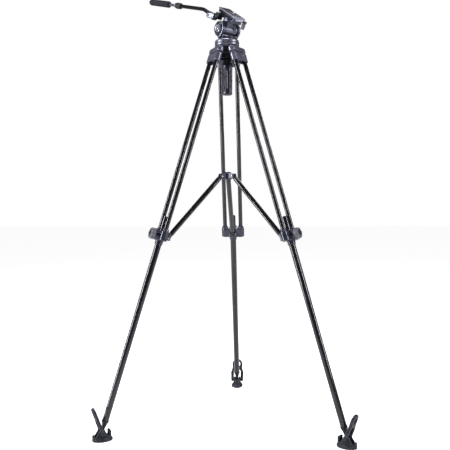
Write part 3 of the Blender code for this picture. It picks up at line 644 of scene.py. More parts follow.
def make_bowl():
    """The flange ring with its grooved rim, and the machined ring under it."""
    place = level_frame()
    seat = [(BOWL_RADIUS * math.cos(math.radians(5 * k)), -BOWL_RADIUS * math.sin(math.radians(5 * k)))
            for k in range(1, 14)]
    rim = [mm(43, -23), mm(46, -20.5), mm(46, -14.2), mm(45.2, -13.6), mm(45.2, -11.4), mm(46, -10.8),
           mm(46, -4), mm(43.6, 0), (BOWL_RADIUS + 1 * MM, 0), (BOWL_RADIUS, -0.8 * MM)]
    rim = rounded(rim, mm(0, 1.2, 0.3, 0.2, 0.2, 0.3, 2.6, 1.4, 0.3, 0))
    outer = [(math.sqrt(BOWL_OUTER ** 2 - z ** 2), -z) for z in mm(39.4, 36, 31, 26)]
    section = outer + [mm(36.5, -24)] + rim + seat
    put("bowl_flange", lathe(section, 96), "crown", "pale", place, ("bowl_crown",))
    ring = rounded([mm(35.5, -23), mm(41.5, -23), mm(41.5, -26.4), mm(35.5, -27)], 0.6 * MM, True)
    put("flange_underring", lathe(ring, 96), "crown", "pale", place, slot="steel_bright")
    band = rounded([mm(44.6, -13.4), mm(45.6, -13.4), mm(45.6, -11.6), mm(44.6, -11.6)], 0.2 * MM, True, 2)
    put("flange_band", lathe(band, 96), "crown", "plastic", place)


def make_crown():
    """The dark skirt with its three shoulders, each split for a leg's knuckle."""
    skirt = [mm(15, -39.8), mm(20, -37.6), mm(29.5, -30.8), mm(34.8, -25), mm(36, -24.4), mm(35.6, -30),
             mm(34, -50), mm(30.2, -50), mm(29.5, -68), mm(25.5, -68), mm(25.5, -52), mm(29.5, -48),
             mm(29.5, -36), mm(18, -43), mm(15, -43.2)]
    adds, cuts, skirt_cuts = [], [], []
    for leg in crown_leg_frames():
        cap = slab(stadium(13.8 * MM, HALF_SPACING), *mm(-10, 8.5, 4), 5)
        top = slab(stadium(10 * MM, HALF_SPACING), *mm(5, 11.8, 3.5), 5)
        neck = box(mm(-14.5, 0), mm(-26, 26), mm(-10, 8), 1 * MM)
        adds += [moved(cap, leg), moved(top, leg), moved(neck, leg)]
        for wanted in (cuts, skirt_cuts):
            slot = box(mm(-12, 10), mm(-15.5, 15.5), mm(-20, 9.2), 1 * MM)
            wanted += [moved(slot, leg), moved(rod_y(*mm(3.8, -27, 27)), leg)]
    put("crown_shoulders", carved(adds, cuts, 0.9 * MM, 7), "crown", "grey", level_frame(), ("bowl_crown",))
    put("crown_skirt", carved([lathe(skirt, 72)], skirt_cuts, 0.9 * MM, 7), "crown", "dark", level_frame())


def make_bowl_clamp():
    place = level_frame()
    radius = BOWL_RADIUS - 0.5 * MM
    bottom = math.asin(30 * MM / radius)
    sphere = [(radius * math.cos(bottom * k / 14), -radius * math.sin(bottom * k / 14) - 0.2 * MM)
              for k in range(15)]
    bolt_end = -118 * MM
    top = rounded([mm(0, 2.9), mm(33.6, 2.9), mm(34, 0.9), (radius, 0.9 * MM), sphere[0]], 0.5 * MM)
    shank = rounded([(5 * MM, sphere[-1][1]), (5 * MM, bolt_end), (0, bolt_end)], 0.8 * MM)
    put("half_ball_turned", joined([lathe(top + sphere[1:] + shank, 72)]), "head_base", "dark", place,
        ("half_ball",))

    inner, outer = BOWL_OUTER + 0.5 * MM, BOWL_OUTER + 4.5 * MM
    radii = [6 * MM, 10 * MM, 14 * MM, 18 * MM, 20 * MM]
    washer = [(r, -math.sqrt(inner ** 2 - r ** 2)) for r in radii]
    washer += [(r, -math.sqrt(outer ** 2 - r ** 2)) for r in reversed(radii)]
    put("clamp_washer_turned", joined([lathe(rounded(washer, 0.4 * MM, True, 2), 48)]), "head_base",
        "steel", place, ("clamp_washer",))

    nut = rounded([mm(5, -60), mm(13, -60), mm(15, -64), mm(15, -85.4), mm(5, -85.4)], 0.8 * MM, True, 3)
    put("clamp_spacer", lathe(nut, 48), "head_base", "dark", place)

    top, low = -86 * MM, -201 * MM
    section = rounded([(0, low), (16.6 * MM, low), (19 * MM, low + 3 * MM), (20.4 * MM, top - 8 * MM),
                       (18.8 * MM, top), (5.3 * MM, top), (5.3 * MM, top - 36 * MM), (0, top - 36 * MM)],
                      mm(0, 1.5, 1.5, 1.5, 1.5, 0.3, 0, 0), False, 5)
    filled = []
    for first, second in zip(section, section[1:]):
        filled.append(first)
        if abs(second[1] - first[1]) > 20 * MM:
            filled += [tuple(a + (b - a) * k / 10 for a, b in zip(first, second)) for k in range(1, 10)]
    filled.append(section[-1])
    handle = lathe(filled, 144, (9, 2.6 * MM, low + 5 * MM, top - 9 * MM, 3.0))
    put("tie_down_grip", handle, "tie_down_handle", "tie", place, ("tie_down_handle",), 40)
    collar = lathe(rounded([(15.4 * MM, top - 0.1 * MM), (18.4 * MM, top - 0.1 * MM),
                            (17.6 * MM, top + 3.2 * MM), (15.4 * MM, top + 3.2 * MM)], 0.5 * MM, True, 3),
                   48)
    put("tie_down_collar", collar, "tie_down_handle", "dark", place, slot="steel_bright")


# ---------------------------------------------------------------- legs

BRACKET_BOTTOM = -46 * MM
LOWER_TUBE_START = 44.16 * MM
LOWER_TUBE_END = 785.4 * MM
FORK_PIN = mm(-27.08, -718.7)


def make_bracket(number, place):
    """The hinge bracket: knuckle, web and a housing that takes both tubes."""
    top, bottom = -14 * MM, BRACKET_BOTTOM
    body = slab(stadium(13 * MM, HALF_SPACING), bottom, top, 2.4 * MM, 5)
    web = box(mm(-7.5, 7.5), mm(-15, 15), (top - 3 * MM, 1 * MM), 0.8 * MM)
    knuckle = rod_y(*mm(8, -15, 15), (0, 0), 40, 0.6 * MM)
    cuts = [slab(stadium(10.6 * MM, HALF_SPACING), bottom - 5 * MM, bottom + 9 * MM, 1 * MM),
            rod_y(*mm(3.9, -20, 20))]
    cuts += [moved(rod(TUBE_RADIUS + GAP, bottom - 5 * MM, bottom + 22 * MM), shift(y=side * HALF_SPACING))
             for side in (-1, 1)]
    for side in (-1, 1):
        window = slab(stadium(*mm(4.5, 9), 8), *mm(-3, 3, 1.2))
        cuts.append(moved(window, ALONG_X, shift(side * 14.6 * MM, 0, -27 * MM)))
    mesh = carved([body, web, knuckle], cuts, 0.9 * MM, 5)
    put(f"hinge_bracket_{number}", mesh, f"leg_{number}", "grey", place, (f"leg_bracket_{number}",))
    for side, letter in ((-1, "a"), (1, "b")):
        lip = pipe(10.2 * MM, TUBE_RADIUS + 0.1 * MM, bottom + 1.2 * MM, bottom + 12 * MM, 40, 0.6 * MM)
        put(f"bracket_gland_{number}{letter}", moved(lip, shift(y=side * HALF_SPACING)), f"leg_{number}",
            "plastic", place)


def make_upper_tubes(number, place):
    for side, letter in ((-1, "a"), (1, "b")):
        axis_low = local_height(place, JOINTS[f"lock_knob_{number}_turn"]["pos_m"]) - 12 * MM
        tube = pipe(TUBE_RADIUS, TUBE_RADIUS - 1.2 * MM, axis_low, BRACKET_BOTTOM + 21 * MM, 48, 0.3 * MM)
        at = place @ shift(y=side * HALF_SPACING)
        put(f"upper_leg_tube_{number}{letter}", tube, f"leg_{number}", "tube", at,
            (f"upper_tube_{number}{letter}",))


def make_collar(number, place):
    """Casting at the lower end of the twin tubes, with clamp boss, slit and fork."""
    centre = local_height(place, JOINTS[f"lock_knob_{number}_turn"]["pos_m"])
    top, bottom = centre + 18 * MM, centre - 18 * MM
    arm_x, arm_z = FORK_PIN
    adds = [slab(stadium(13.9 * MM, HALF_SPACING), bottom, top, 2.6 * MM, 5)]
    for side in (-1, 1):
        section = rounded([(0, top - 3 * MM), (12.4 * MM, top - 3 * MM), (12 * MM, top + 2 * MM),
                           (11 * MM, top + 9 * MM), (0, top + 9 * MM)], mm(0, 0, 2, 1, 0))
        adds.append(moved(lathe(section, 40), shift(y=side * HALF_SPACING)))
    neck_low = bottom - 15 * MM
    neck = rounded([(0, neck_low), (13.8 * MM, neck_low), (14.1 * MM, neck_low + 4 * MM),
                    (14.5 * MM, bottom + 3 * MM), (0, bottom + 3 * MM)], mm(0, 1, 0, 0, 0))
    adds.append(lathe(neck, 40))
    adds.append(moved(rod(*mm(15, 9, 24), 48, 1 * MM), ALONG_X, shift(z=centre)))
    for side in (-1, 1):
        sides = sorted((side * 6.4 * MM, side * 11.5 * MM))
        ear = box((arm_x - 8 * MM, -9 * MM), sides, (arm_z - 9 * MM, arm_z + 9 * MM), *mm(1.2, 2))
        adds.append(ear)
    cuts = [rod(LOWER_RADIUS + GAP, neck_low - 5 * MM, top + 5 * MM, 48)]
    tube_bottom = centre - 12 * MM
    for side in (-1, 1):
        bore = rod(TUBE_RADIUS + GAP, tube_bottom - GAP, top + 30 * MM, 40)
        cuts.append(moved(bore, shift(y=side * HALF_SPACING)))
        pocket = slab(stadium(*mm(5, 5.5), 8), *mm(-2, 2, 1))
        cuts.append(moved(pocket, ALONG_X, shift(14.4 * MM, side * 27 * MM, centre)))
    cuts.append(moved(rod(*mm(5.3, 15, 30)), ALONG_X, shift(z=centre)))
    cuts.append(box(mm(12, 30), mm(-1, 1), (neck_low - 5 * MM, centre - 11 * MM), 0.2 * MM))
    mesh = carved(adds, cuts, 0.9 * MM, 5)
    put(f"collar_casting_{number}", mesh, f"leg_{number}", "casting", place, (f"leg_collar_{number}",))
    heads = [hex_head(side, (arm_x, arm_z)) for side in (-1, 1)]
    put(f"fork_bolts_{number}", joined(heads), f"leg_{number}", "steel", place)
    for side, letter in ((-1, "a"), (1, "b")):
        seal = pipe(9.6 * MM, TUBE_RADIUS + 0.1 * MM, top + 7 * MM, top + 8.9 * MM, 40, 0.4 * MM)
        put(f"socket_seal_{number}{letter}", moved(seal, shift(y=side * HALF_SPACING)), f"leg_{number}",
            "plastic", place)


def hex_head(side, at, radius=5 * MM, near=11.4 * MM, far=13.9 * MM):
    """A button head with a hexagon socket, on one side of a fork."""
    section = [(0, near), (radius, near), (radius, near + 0.8 * MM), (radius * 0.55, far),
               (radius * 0.5, far), (radius * 0.5, far - 1.3 * MM), (0, far - 1.3 * MM)]
    head = lathe(rounded(section, 0.35 * MM, False, 3), 36)
    turn = ALONG_Y if side > 0 else spin(90, "X")
    return moved(head, turn, shift(at[0], 0, at[1]))


def make_lock_knob(number, place):
    centre = local_height(place, JOINTS[f"lock_knob_{number}_turn"]["pos_m"])
    section = [mm(0, 25.3), mm(19.4, 25.3), mm(21.4, 28), mm(21.2, 31), mm(21, 34), mm(20.9, 37),
               mm(20.4, 39.8), mm(17, 42.9), mm(12.5, 42.9), mm(12, 41.6), mm(0, 41.6)]
    edges = [0, 1 * MM, 1 * MM, 0, 0, 0, 1.6 * MM, 1.2 * MM, 0.4 * MM, 0.4 * MM, 0]
    knob = lathe(rounded(section, edges, False, 4), 120, (6, 3.0 * MM, 24 * MM, 60 * MM, 5.0))
    at = place @ shift(z=centre) @ ALONG_X
    put(f"lock_knob_body_{number}", knob, f"lock_knob_{number}", "knob", at, (f"lock_knob_{number}",), 38)
    shaft = rod(*mm(5, 16.5, 26))
    put(f"lock_knob_shaft_{number}", shaft, f"lock_knob_{number}", "steel", at)
    cap = lathe(rounded([mm(0, 41.4), mm(11.6, 41.4), mm(11.2, 42.5), mm(0, 42.9)], mm(0, 0, 0.6, 0)), 48)
    put(f"lock_knob_cap_{number}", cap, f"lock_knob_{number}", "plastic", at)


def make_lower_leg(number, place):
    """The lower tube and, under it, the spike's ferrule with the eye for the shoe pin."""
    pivot = local_height(place, JOINTS[f"shoe_{number}_pivot"]["pos_m"])
    low, high = pivot + LOWER_TUBE_START, pivot + LOWER_TUBE_END
    tube = pipe(LOWER_RADIUS, LOWER_RADIUS - 1.2 * MM, low, high, 56, 0.3 * MM)
    put(f"lower_leg_tube_{number}", tube, f"lower_leg_{number}", "tube", place, (f"lower_tube_{number}",))
    section = [(0, pivot + 6 * MM), (6.4 * MM, pivot + 6 * MM), (6.4 * MM, pivot + 20 * MM),
               (10.4 * MM, pivot + 34 * MM), (12.6 * MM, pivot + 38 * MM), (12.6 * MM, low - 0.5 * MM),
               (10 * MM, low - 0.5 * MM), (10 * MM, low + 25 * MM), (0, low + 25 * MM)]
    ferrule = lathe(rounded(section, mm(0, 0.5, 2, 2, 1, 0.6, 0, 0.5, 0)), 48)
    eye = rod_y(*mm(8, -6.4, 6.4), (0, pivot), 40, 0.8 * MM)
    mesh = carved([ferrule, eye], [rod_y(*mm(3.5, -20, 20), (0, pivot))])
    put(f"spike_ferrule_{number}", mesh, f"lower_leg_{number}", "dark", place, (f"spike_{number}",), 40,
        slot="steel_bright")


def make_shoe(number, place):
    """Oval rubber shoe: ribbed edge, two cheeks with round bosses, an inner lug and a treaded sole."""
    pivot = JOINTS[f"shoe_{number}_pivot"]
    at = axes_frame(pivot["pos_m"], pivot["axis"], (0, 0, 1))
    low = -PIVOT_HEIGHT
    adds = [slab(ellipse(*mm(-2, 36, 24.5)), low, low + 10 * MM, 2.2 * MM, 4),
            slab(ellipse(*mm(-2, 32, 21.5)), low + 6 * MM, low + 15 * MM, 2.5 * MM, 4)]
    for side in (-1, 1):
        outline = [(-26 * MM, low + 11 * MM), (28 * MM, low + 11 * MM)] + arc(mm(1, 3), 12 * MM, 10, 170, 18)
        near, far = sorted((side * 7.2 * MM, side * 14 * MM))
        cheek = slab(rounded(outline, [2 * MM, 2 * MM] + [0] * 19, True), near, far, 1.4 * MM)
        adds.append(moved(cheek, UPRIGHT_XZ))
    adds.append(box(mm(-31, -22), mm(-14, 14), (low + 8 * MM, 8 * MM), *mm(2, 3)))
    adds.append(box(mm(25, 33), mm(-8, 8), (low + 8 * MM, -6 * MM), *mm(2, 3)))
    cuts = [rod_y(*mm(3.5, -30, 30)), box(mm(-26, 24), mm(-6.9, 6.9), (low + 12 * MM, 30 * MM), 0.5 * MM)]
    for k in (-2, -1, 0, 1, 2):
        cuts.append(box((k * 12 * MM - 3.2 * MM, k * 12 * MM - 0.8 * MM), mm(-40, 40),
                        (low - 3 * MM, low + 1.2 * MM), 0.2 * MM))
    mesh = carved(adds, cuts, 1.0 * MM, 4)
    put(f"shoe_moulding_{number}", mesh, f"shoe_{number}", "rubber", at, (f"shoe_{number}",))
    section = [mm(0, -27), mm(2.4, -27), mm(3.2, -26.2), mm(3.2, 26.2), mm(2.4, 27), mm(0, 27)]
    pin = moved(lathe(rounded(section, 0.3 * MM), 32), ALONG_Y)
    put(f"shoe_axle_{number}", pin, f"shoe_{number}", "dark", at, (f"shoe_pin_{number}",),
        slot="steel_bright")
    bosses = []
    for side in (-1, 1):
        near, far = sorted((side * 13.2 * MM, side * 15.1 * MM))
        bosses.append(moved(pipe(*mm(8.6, 3.6), near, far, 40, 0.6 * MM), ALONG_Y))
    put(f"shoe_bosses_{number}", joined(bosses), f"shoe_{number}", "rubber", at)
    make_strap(number, at @ Matrix.Rotation(STRAP_LEAN, 4, "Y"))


def make_strap(number, at):
    """Figure-of-eight rubber strap: thick rim bead round the finger ring, flat shanks down to the pin."""
    ring_at = 71 * MM
    outline = arc((0, ring_at), 22.8 * MM, -15, 195, 40)
    left = [mm(-22.2, 52), mm(-28.6, 34), mm(-26.6, -6), mm(-15.7, -6), mm(-15.7, 38), mm(-10, 46)]
    right = [(-x, z) for x, z in reversed(left)]
    radii = [5 * MM, 8 * MM, 5 * MM, 2 * MM, 3 * MM, 4 * MM]
    corners = left + right
    body = rounded([outline[-1]] + corners + [outline[0]], [0] + radii + radii[::-1] + [0], False, 5)
    shape = slab(outline[1:-1] + body, *mm(-5.2, 5.2, 2.6), 4)
    hole = moved(rod(*mm(13, -20, 20), 48), shift(y=ring_at))
    mesh = carved([moved(shape, ACROSS_X)], [moved(hole, ACROSS_X), rod_y(*mm(3.5, -40, 40))], 0.9 * MM, 5)
    put(f"strap_moulding_{number}", mesh, f"shoe_strap_{number}", "rubber", at, (f"shoe_strap_{number}",))


# ---------------------------------------------------------------- spreader

def make_spreader():
    pivots = [JOINTS[f"spreader_arm_{number}_swing"] for number in (1, 2, 3)]
    centre = sum((Vector(p["pos_m"]) for p in pivots), Vector()) / 3
    place = Matrix.Translation(centre)
    section = rounded([mm(0, -13.8), mm(12.6, -13.8), mm(16, -11), mm(16, 11.6), mm(12, 15.8), mm(0, 15.8)],
                      mm(0, 1.5, 2, 2, 2.5, 0))
    adds, bolts = [lathe(section, 56)], []
    for pivot in pivots:
        y = Vector(pivot["axis"])
        turn = axes_frame((0, 0, 0), y, (0, 0, 1))
        for side in (-1, 1):
            sides = sorted((side * 6.3 * MM, side * 11.4 * MM))
            ear = moved(slab(rounded([mm(8, -9), mm(33, -9), mm(33, 10), mm(8, 10)], mm(0, 6, 6, 0), True),
                             sides[0], sides[1], 1 * MM), UPRIGHT_XZ)
            adds.append(moved(ear, turn))
            bolts.append(moved(hex_head(side, mm(26, 0), *mm(4.4, 11.2, 13.4)), turn))
        bolts.append(moved(rod_y(*mm(3.3, -12, 12), mm(26, 0)), turn))
    put("hub_casting", carved(adds, (), 0.8 * MM, 5), "spreader_hub", "casting", place, ("spreader_hub",))
    put("hub_bolts", joined(bolts), "spreader_hub", "steel", place)
    for number, pivot in enumerate(pivots, 1):
        level = axes_frame(pivot["pos_m"], pivot["axis"], (0, 0, 1))
        at = level @ Matrix.Rotation(ARM_SLOPE, 4, "Y") @ ALONG_X
        section = rounded([mm(0, 12), mm(9, 15), (9 * MM, ARM_LENGTH - 22 * MM), (0, ARM_LENGTH - 19 * MM)],
                          mm(0, 1, 1, 0))
        put(f"arm_tube_{number}", lathe(section, 40), f"spreader_arm_{number}", "tube", at,
            (f"spreader_arm_{number}",))
        ends = []
        for start, end, tip in (mm(0, 19, 0), (ARM_LENGTH - 27 * MM, ARM_LENGTH, ARM_LENGTH)):
            shank = box(mm(-7.3, 7.3), mm(-5.5, 5.5), (start, end), *mm(0.9, 1.5))
            ends.append(carved([shank, rod_y(*mm(7.4, -5.5, 5.5), (0, tip), 40, 0.9 * MM)],
                               [rod_y(*mm(3.7, -20, 20), (0, tip))]))
        for mesh, name in zip(ends, ("hub", "leg")):
            put(f"arm_plug_{name}_{number}", mesh, f"spreader_arm_{number}", "plastic", at)


# ---------------------------------------------------------------- head

def teardrop(radius, tip_radius, drop, steps=48):
    lean = math.degrees(math.asin((radius - tip_radius) / drop))
    return arc((0, 0), radius, -lean, 180 + lean, steps) + arc((0, -drop), tip_radius, 180 + lean,
                                                               360 - lean, 12)


def make_pan_body():
    pan = pan_frame()
    axis_x = (pan.inverted() @ Vector(JOINTS["tilt"]["pos_m"])).x
    base = rounded([mm(0, 3.4), mm(33, 3.4), mm(33, 8), mm(29, 12), mm(0, 12)], mm(0, 0.8, 1.5, 1.5, 0))
    adds = [lathe(base, 72), box(mm(-14, 24), mm(-34, 34), mm(9, 16.5), 1.5 * MM)]
    for side in (-1, 1):
        near, far = sorted((side * 31 * MM, side * 41 * MM))
        cheek = slab(teardrop(*mm(28.4, 11, 22)), near, far, 2.2 * MM, 4)
        adds.append(moved(cheek, UPRIGHT_XZ, shift(axis_x, 0, TILT_AXIS_HEIGHT)))
    to_lock = (shift(z=13.5 * MM), spin(135, "Z"))
    adds.append(moved(rod(*mm(6, 20, 35)), ALONG_X, *to_lock))
    cuts = [rod_y(*mm(8.3, -60, 60), (axis_x, TILT_AXIS_HEIGHT), 40),
            moved(rod(*mm(3.3, 24, 60)), ALONG_X, *to_lock)]
    put("yoke_casting", carved(adds, cuts, 0.9 * MM, 5), "pan_body", "casting", pan, ("pan_yoke",))

    ring = rounded([mm(31, 4.4), mm(33.4, 4.4), mm(33.4, 6.6), mm(31, 6.6)], 0.3 * MM, True, 3)
    put("pan_scale_ring", lathe(ring, 96), "pan_body", "dark", pan, slot="plate_grey")
    for side, name in ((-1, "left"), (1, "right")):
        outer = teardrop(*mm(26.6, 9.4, 22))
        near, far = sorted((side * 40.4 * MM, side * 41.3 * MM))
        stripe = slab(outer, near, far, 0.3 * MM, 2)
        inner = slab([(x * 0.9, z * 0.9) for x, z in outer], near - 2 * MM, far + 2 * MM, 0.2 * MM, 2)
        to_cheek = (UPRIGHT_XZ, shift(axis_x, 0, TILT_AXIS_HEIGHT))
        mesh = carved([moved(stripe, *to_cheek)], [moved(inner, *to_cheek)])
        put(f"cheek_trim_{name}", mesh, "pan_body", "pale", pan, slot="plate_grey")
    make_pan_lock(pan)
    make_dial(pan @ shift(axis_x, 0, TILT_AXIS_HEIGHT))


def make_pan_lock(pan):
    at = pan @ shift(z=13.5 * MM) @ spin(135, "Z") @ ALONG_X
    section = [mm(0, 25), mm(3, 25), mm(3, 35.6), mm(5.4, 35.6), mm(6.5, 39), mm(6.3, 43), mm(6.1, 48),
               mm(5.8, 52.6), mm(0, 53.8)]
    knob = lathe(rounded(section, mm(0, 0.4, 0, 0.6, 0.8, 0, 0, 1.4, 0)), 96,
                 (8, 0.8 * MM, 37.5 * MM, 53 * MM, 2.5))
    put("pan_lock_grip", knob, "pan_lock_knob", "plastic", at, ("pan_lock_knob",))


def make_dial(at):
    """Drag dial on the left cheek: knurled ring, dished face and pointer; plain cap on the right one."""
    left = at @ spin(90, "X")
    section = [mm(0, 41.5), mm(21.6, 41.5), mm(22, 42.4), mm(22, 44.4), mm(20.6, 46.2), mm(17.6, 46.4),
               mm(17.2, 45.6), mm(0, 45.6)]
    ring = lathe(rounded(section, mm(0, 0.3, 0, 0.6, 0.8, 0.4, 0.3, 0)), 240,
                 (40, 0.5 * MM, 41 * MM, 46 * MM, 1.5))
    put("dial_ring", ring, "tilt_drag_dial", "casting", left, ("tilt_drag_dial",), 40, slot="knob_plastic")
    well = pipe(*mm(17.4, 14.2, 45.3, 46.5), 96, 0.4 * MM)
    put("dial_well", well, "tilt_drag_dial", "plastic", left)
    face = rounded([mm(0, 45.3), mm(14.2, 45.3), mm(14.1, 46.6), mm(12.8, 47.3), mm(11.2, 46.9),
                    mm(5.5, 46.9), mm(4.6, 47.5), mm(0, 47.9)], mm(0, 0, 0.4, 0.5, 0.4, 0.3, 0.5, 0))
    put("dial_face", lathe(face, 96), "tilt_drag_dial", "dial", left)
    pointer = slab(rounded([mm(14.6, -0.9), mm(17, -0.4), mm(17, 0.4), mm(14.6, 0.9)], 0.3 * MM, True),
                   *mm(46.3, 46.8, 0.15), 2)
    put("dial_pointer", pointer, "tilt_drag_dial", "dial", left)

    right = at @ ALONG_Y
    cap = rounded([mm(0, 41.5), mm(20.6, 41.5), mm(20.8, 42.3), mm(18.6, 43.8), mm(13, 44.4),
                   mm(12.4, 43.6), mm(5, 43.6), mm(4.4, 44.6), mm(0, 44.8)],
                  mm(0, 0.3, 0.4, 0.8, 0.5, 0.4, 0.4, 0.4, 0))
    put("side_cap_disc", lathe(cap, 96), "pan_body", "grey", right, ("tilt_side_cap",), slot="knob_plastic")


def make_tilt_body():
    tilt = tilt_frame()
    section = [mm(0, -30.4), mm(21, -30.4), mm(22, -29.4)]
    for z in (-24, -20, 20, 24):
        section += [(22 * MM, (z - 0.7) * MM), (21.2 * MM, (z - 0.5) * MM), (21.2 * MM, (z + 0.5) * MM),
                    (22 * MM, (z + 0.7) * MM)]
    section += [mm(22, 29.4), mm(21, 30.4), mm(0, 30.4)]
    drum = moved(lathe(section, 96), ALONG_Y)
    trunnion = rod_y(*mm(7.9, -40.7, 40.7), (0, 0), 40)
    neck = box(mm(-17, 17), mm(-22, 22), mm(8, 36.1), *mm(1.6, 3))
    put("drum_turned", carved([drum, trunnion, neck]), "tilt_body", "casting", tilt, ("tilt_drum",), 30)

    body = box(mm(-50, 40), mm(-23, 23), mm(36.3, 48), *mm(1.8, 4))
    arm = box(mm(-48, -27), mm(-42, -18), mm(24, 47), *mm(2, 4))
    rosette = [rod_y(*mm(10.5, -42.2, -41), mm(-37, 34.6), 48, 0.4 * MM)]
    cuts = [rod_y(*mm(4.3, -60, -25), mm(-36, 30)), rod_y(*mm(2.8, -40, -14), mm(10, 40))]
    groove = box(mm(-60, 60), mm(22.4, 30), mm(41, 43), 0.3 * MM)
    put("saddle_casting", carved([body, arm] + rosette, cuts + [groove], 0.9 * MM, 4), "tilt_body",
        "casting", tilt, ("tilt_saddle",))
    lock_at = tilt @ shift(10 * MM, 0, 40 * MM) @ spin(90, "X")
    section = [mm(0, 15), mm(2.5, 15), mm(2.5, 23.7), mm(6.4, 23.7), mm(7.4, 26), mm(7.2, 29),
               mm(6.9, 32.6), mm(4.6, 33.8), mm(0, 33.9)]
    knob = lathe(rounded(section, mm(0, 0, 0, 0.6, 0.8, 0, 1, 0.5, 0)), 96,
                 (8, 0.7 * MM, 25 * MM, 34 * MM, 2.5))
    put("tilt_lock_grip", knob, "tilt_lock_knob", "dial", lock_at, ("tilt_lock_knob",), slot="knob_plastic")


def dovetail(low_half, high_half, low, high):
    return [(-low_half, low), (low_half, low), (high_half, high), (-high_half, high)]


def make_plate():
    tilt = tilt_frame()
    base = box(mm(-58, 47), mm(-25, 25), mm(48.3, 58), *mm(1, 3))
    lug = box(mm(36, 50), mm(23.4, 38), mm(45.6, 54), *mm(1.4, 3))
    channel = moved(slab(dovetail(*mm(20.5, 16.5, 51.6, 58.5)), *mm(-80, 80), 0), ACROSS_X)
    cuts = [channel, moved(rod(*mm(2.8, 40, 60)), shift(*mm(43, 31))), rod_y(*mm(3.3, 18, 30), mm(-44, 53))]
    for side in (-1, 1):
        cuts.append(box(mm(-54, 43), sorted((side * 24.3 * MM, side * 27 * MM)), mm(52, 53.4), 0.2 * MM))
    # the release base takes the darker casting copy: painted shade under the camera plate
    put("release_base", carved([base, lug], cuts), "tilt_body", "tilt", tilt, ("plate_base",), 30)
    lips = [box(sides, mm(-15, 15), mm(49, 51), 0.4 * MM) for sides in (mm(46, 47.1), mm(-58.1, -57))]
    put("release_lips", joined(lips), "tilt_body", "grey", tilt, slot="plate_grey")

    low_x, high_x = -63.5 * MM, 51.5 * MM
    upper = box((low_x, high_x), mm(-25, 25), mm(58.3, 63.6), *mm(0.8, 3.5))
    tail = moved(slab(dovetail(*mm(19.8, 16.1, 52, 59)), low_x + 1 * MM, high_x - 1 * MM, 0.3 * MM, 2),
                 ACROSS_X)
    cuts = []
    for radius, z in ((3.7 * MM, mm(40, 80)), (8.5 * MM, mm(40, 58))):
        slot = slab(stadium(radius, 14 * MM), z[0], z[1], 0.2 * MM)
        cuts.append(moved(slot, spin(90, "Z"), shift(x=4 * MM)))
    cuts.append(moved(rod(*mm(2.5, 55.5, 80)), shift(x=30 * MM)))
    for side in (-1, 1):
        cuts.append(box((low_x - 2 * MM, high_x + 2 * MM), sorted((side * 24.5 * MM, side * 27 * MM)),
                        mm(60.4, 61.6), 0.2 * MM))
    put("camera_plate", carved([upper, tail], cuts), "slide_plate", "plate", tilt, ("slide_plate",), 30)
    pads = [box(mm(-58, -20), sorted((side * 3 * MM, side * 20.5 * MM)), mm(63.2, 64), *mm(0.3, 2.5))
            for side in (-1, 1)]
    pads += [box(mm(-15, 25), sorted((side * 11 * MM, side * 20.5 * MM)), mm(63.2, 64), *mm(0.3, 2.5))
             for side in (-1, 1)]
    put("plate_pads", joined(pads), "slide_plate", "pad", tilt)
    screws = [moved(lathe(rounded([mm(0, 63.2), mm(2.6, 63.2), mm(2.6, 63.8), mm(1.3, 63.95), mm(1.2, 63.5),
                                   mm(0, 63.5)], 0.15 * MM), 24), shift(x, y)) for x,
              y in (mm(-60.2, 21), mm(-60.2, -21), mm(44, 20), mm(44, -20))]
    put("plate_screws", joined(screws), "slide_plate", "steel", tilt)
    make_plate_hardware(tilt)


def make_plate_hardware(tilt):
    section = [mm(0, 52.4), mm(7.5, 52.4), mm(7.5, 56.9), mm(3.1, 56.9)]
    for k in range(10):
        z = (58 + 1.2 * k) * MM
        section += [(3.1 * MM, z), (2.6 * MM, z + 0.6 * MM)]
    section += [mm(2.4, 70.2), mm(0, 70.4)]
    put("camera_screw_turned", lathe(section, 40), "camera_screw", "steel", tilt @ shift(x=4 * MM),
        ("camera_screw",))
    pin = lathe(rounded([mm(0, 60.4), mm(2.1, 60.4), mm(2.1, 66.8), mm(0, 67.9)], mm(0, 0.2, 0.8, 0)), 32)
    put("video_pin_turned", pin, "video_pin", "steel", tilt @ shift(x=30 * MM), ("video_pin",))
    section = [mm(0, 24), mm(6.2, 24), mm(7.4, 27), mm(7.4, 31), mm(7.4, 37), mm(7.4, 42), mm(5.8, 45.1),
               mm(2.5, 45.1), mm(2.5, 52.9), mm(0, 52.9)]
    knob = lathe(rounded(section, mm(0, 1, 1, 0, 0, 1, 0.6, 0, 0.4, 0)), 96,
                 (10, 0.7 * MM, 25.5 * MM, 43.5 * MM, 2.0))
    put("plate_lock_grip", knob, "plate_lock_knob", "knob", tilt @ shift(*mm(43, 31)), ("plate_lock_knob",))
    section = [mm(0, 22.9), mm(2.95, 22.9), mm(2.95, 27.6), mm(2.6, 28.4), mm(0, 28.4)]
    button = moved(lathe(rounded(section, mm(0, 0, 0.3, 0.5, 0)), 32), ALONG_Y)
    put("safety_button_cap", button, "safety_button", "red", tilt @ shift(-44 * MM, 0, 53 * MM),
        ("safety_button",))


# ---------------------------------------------------------------- pan handle

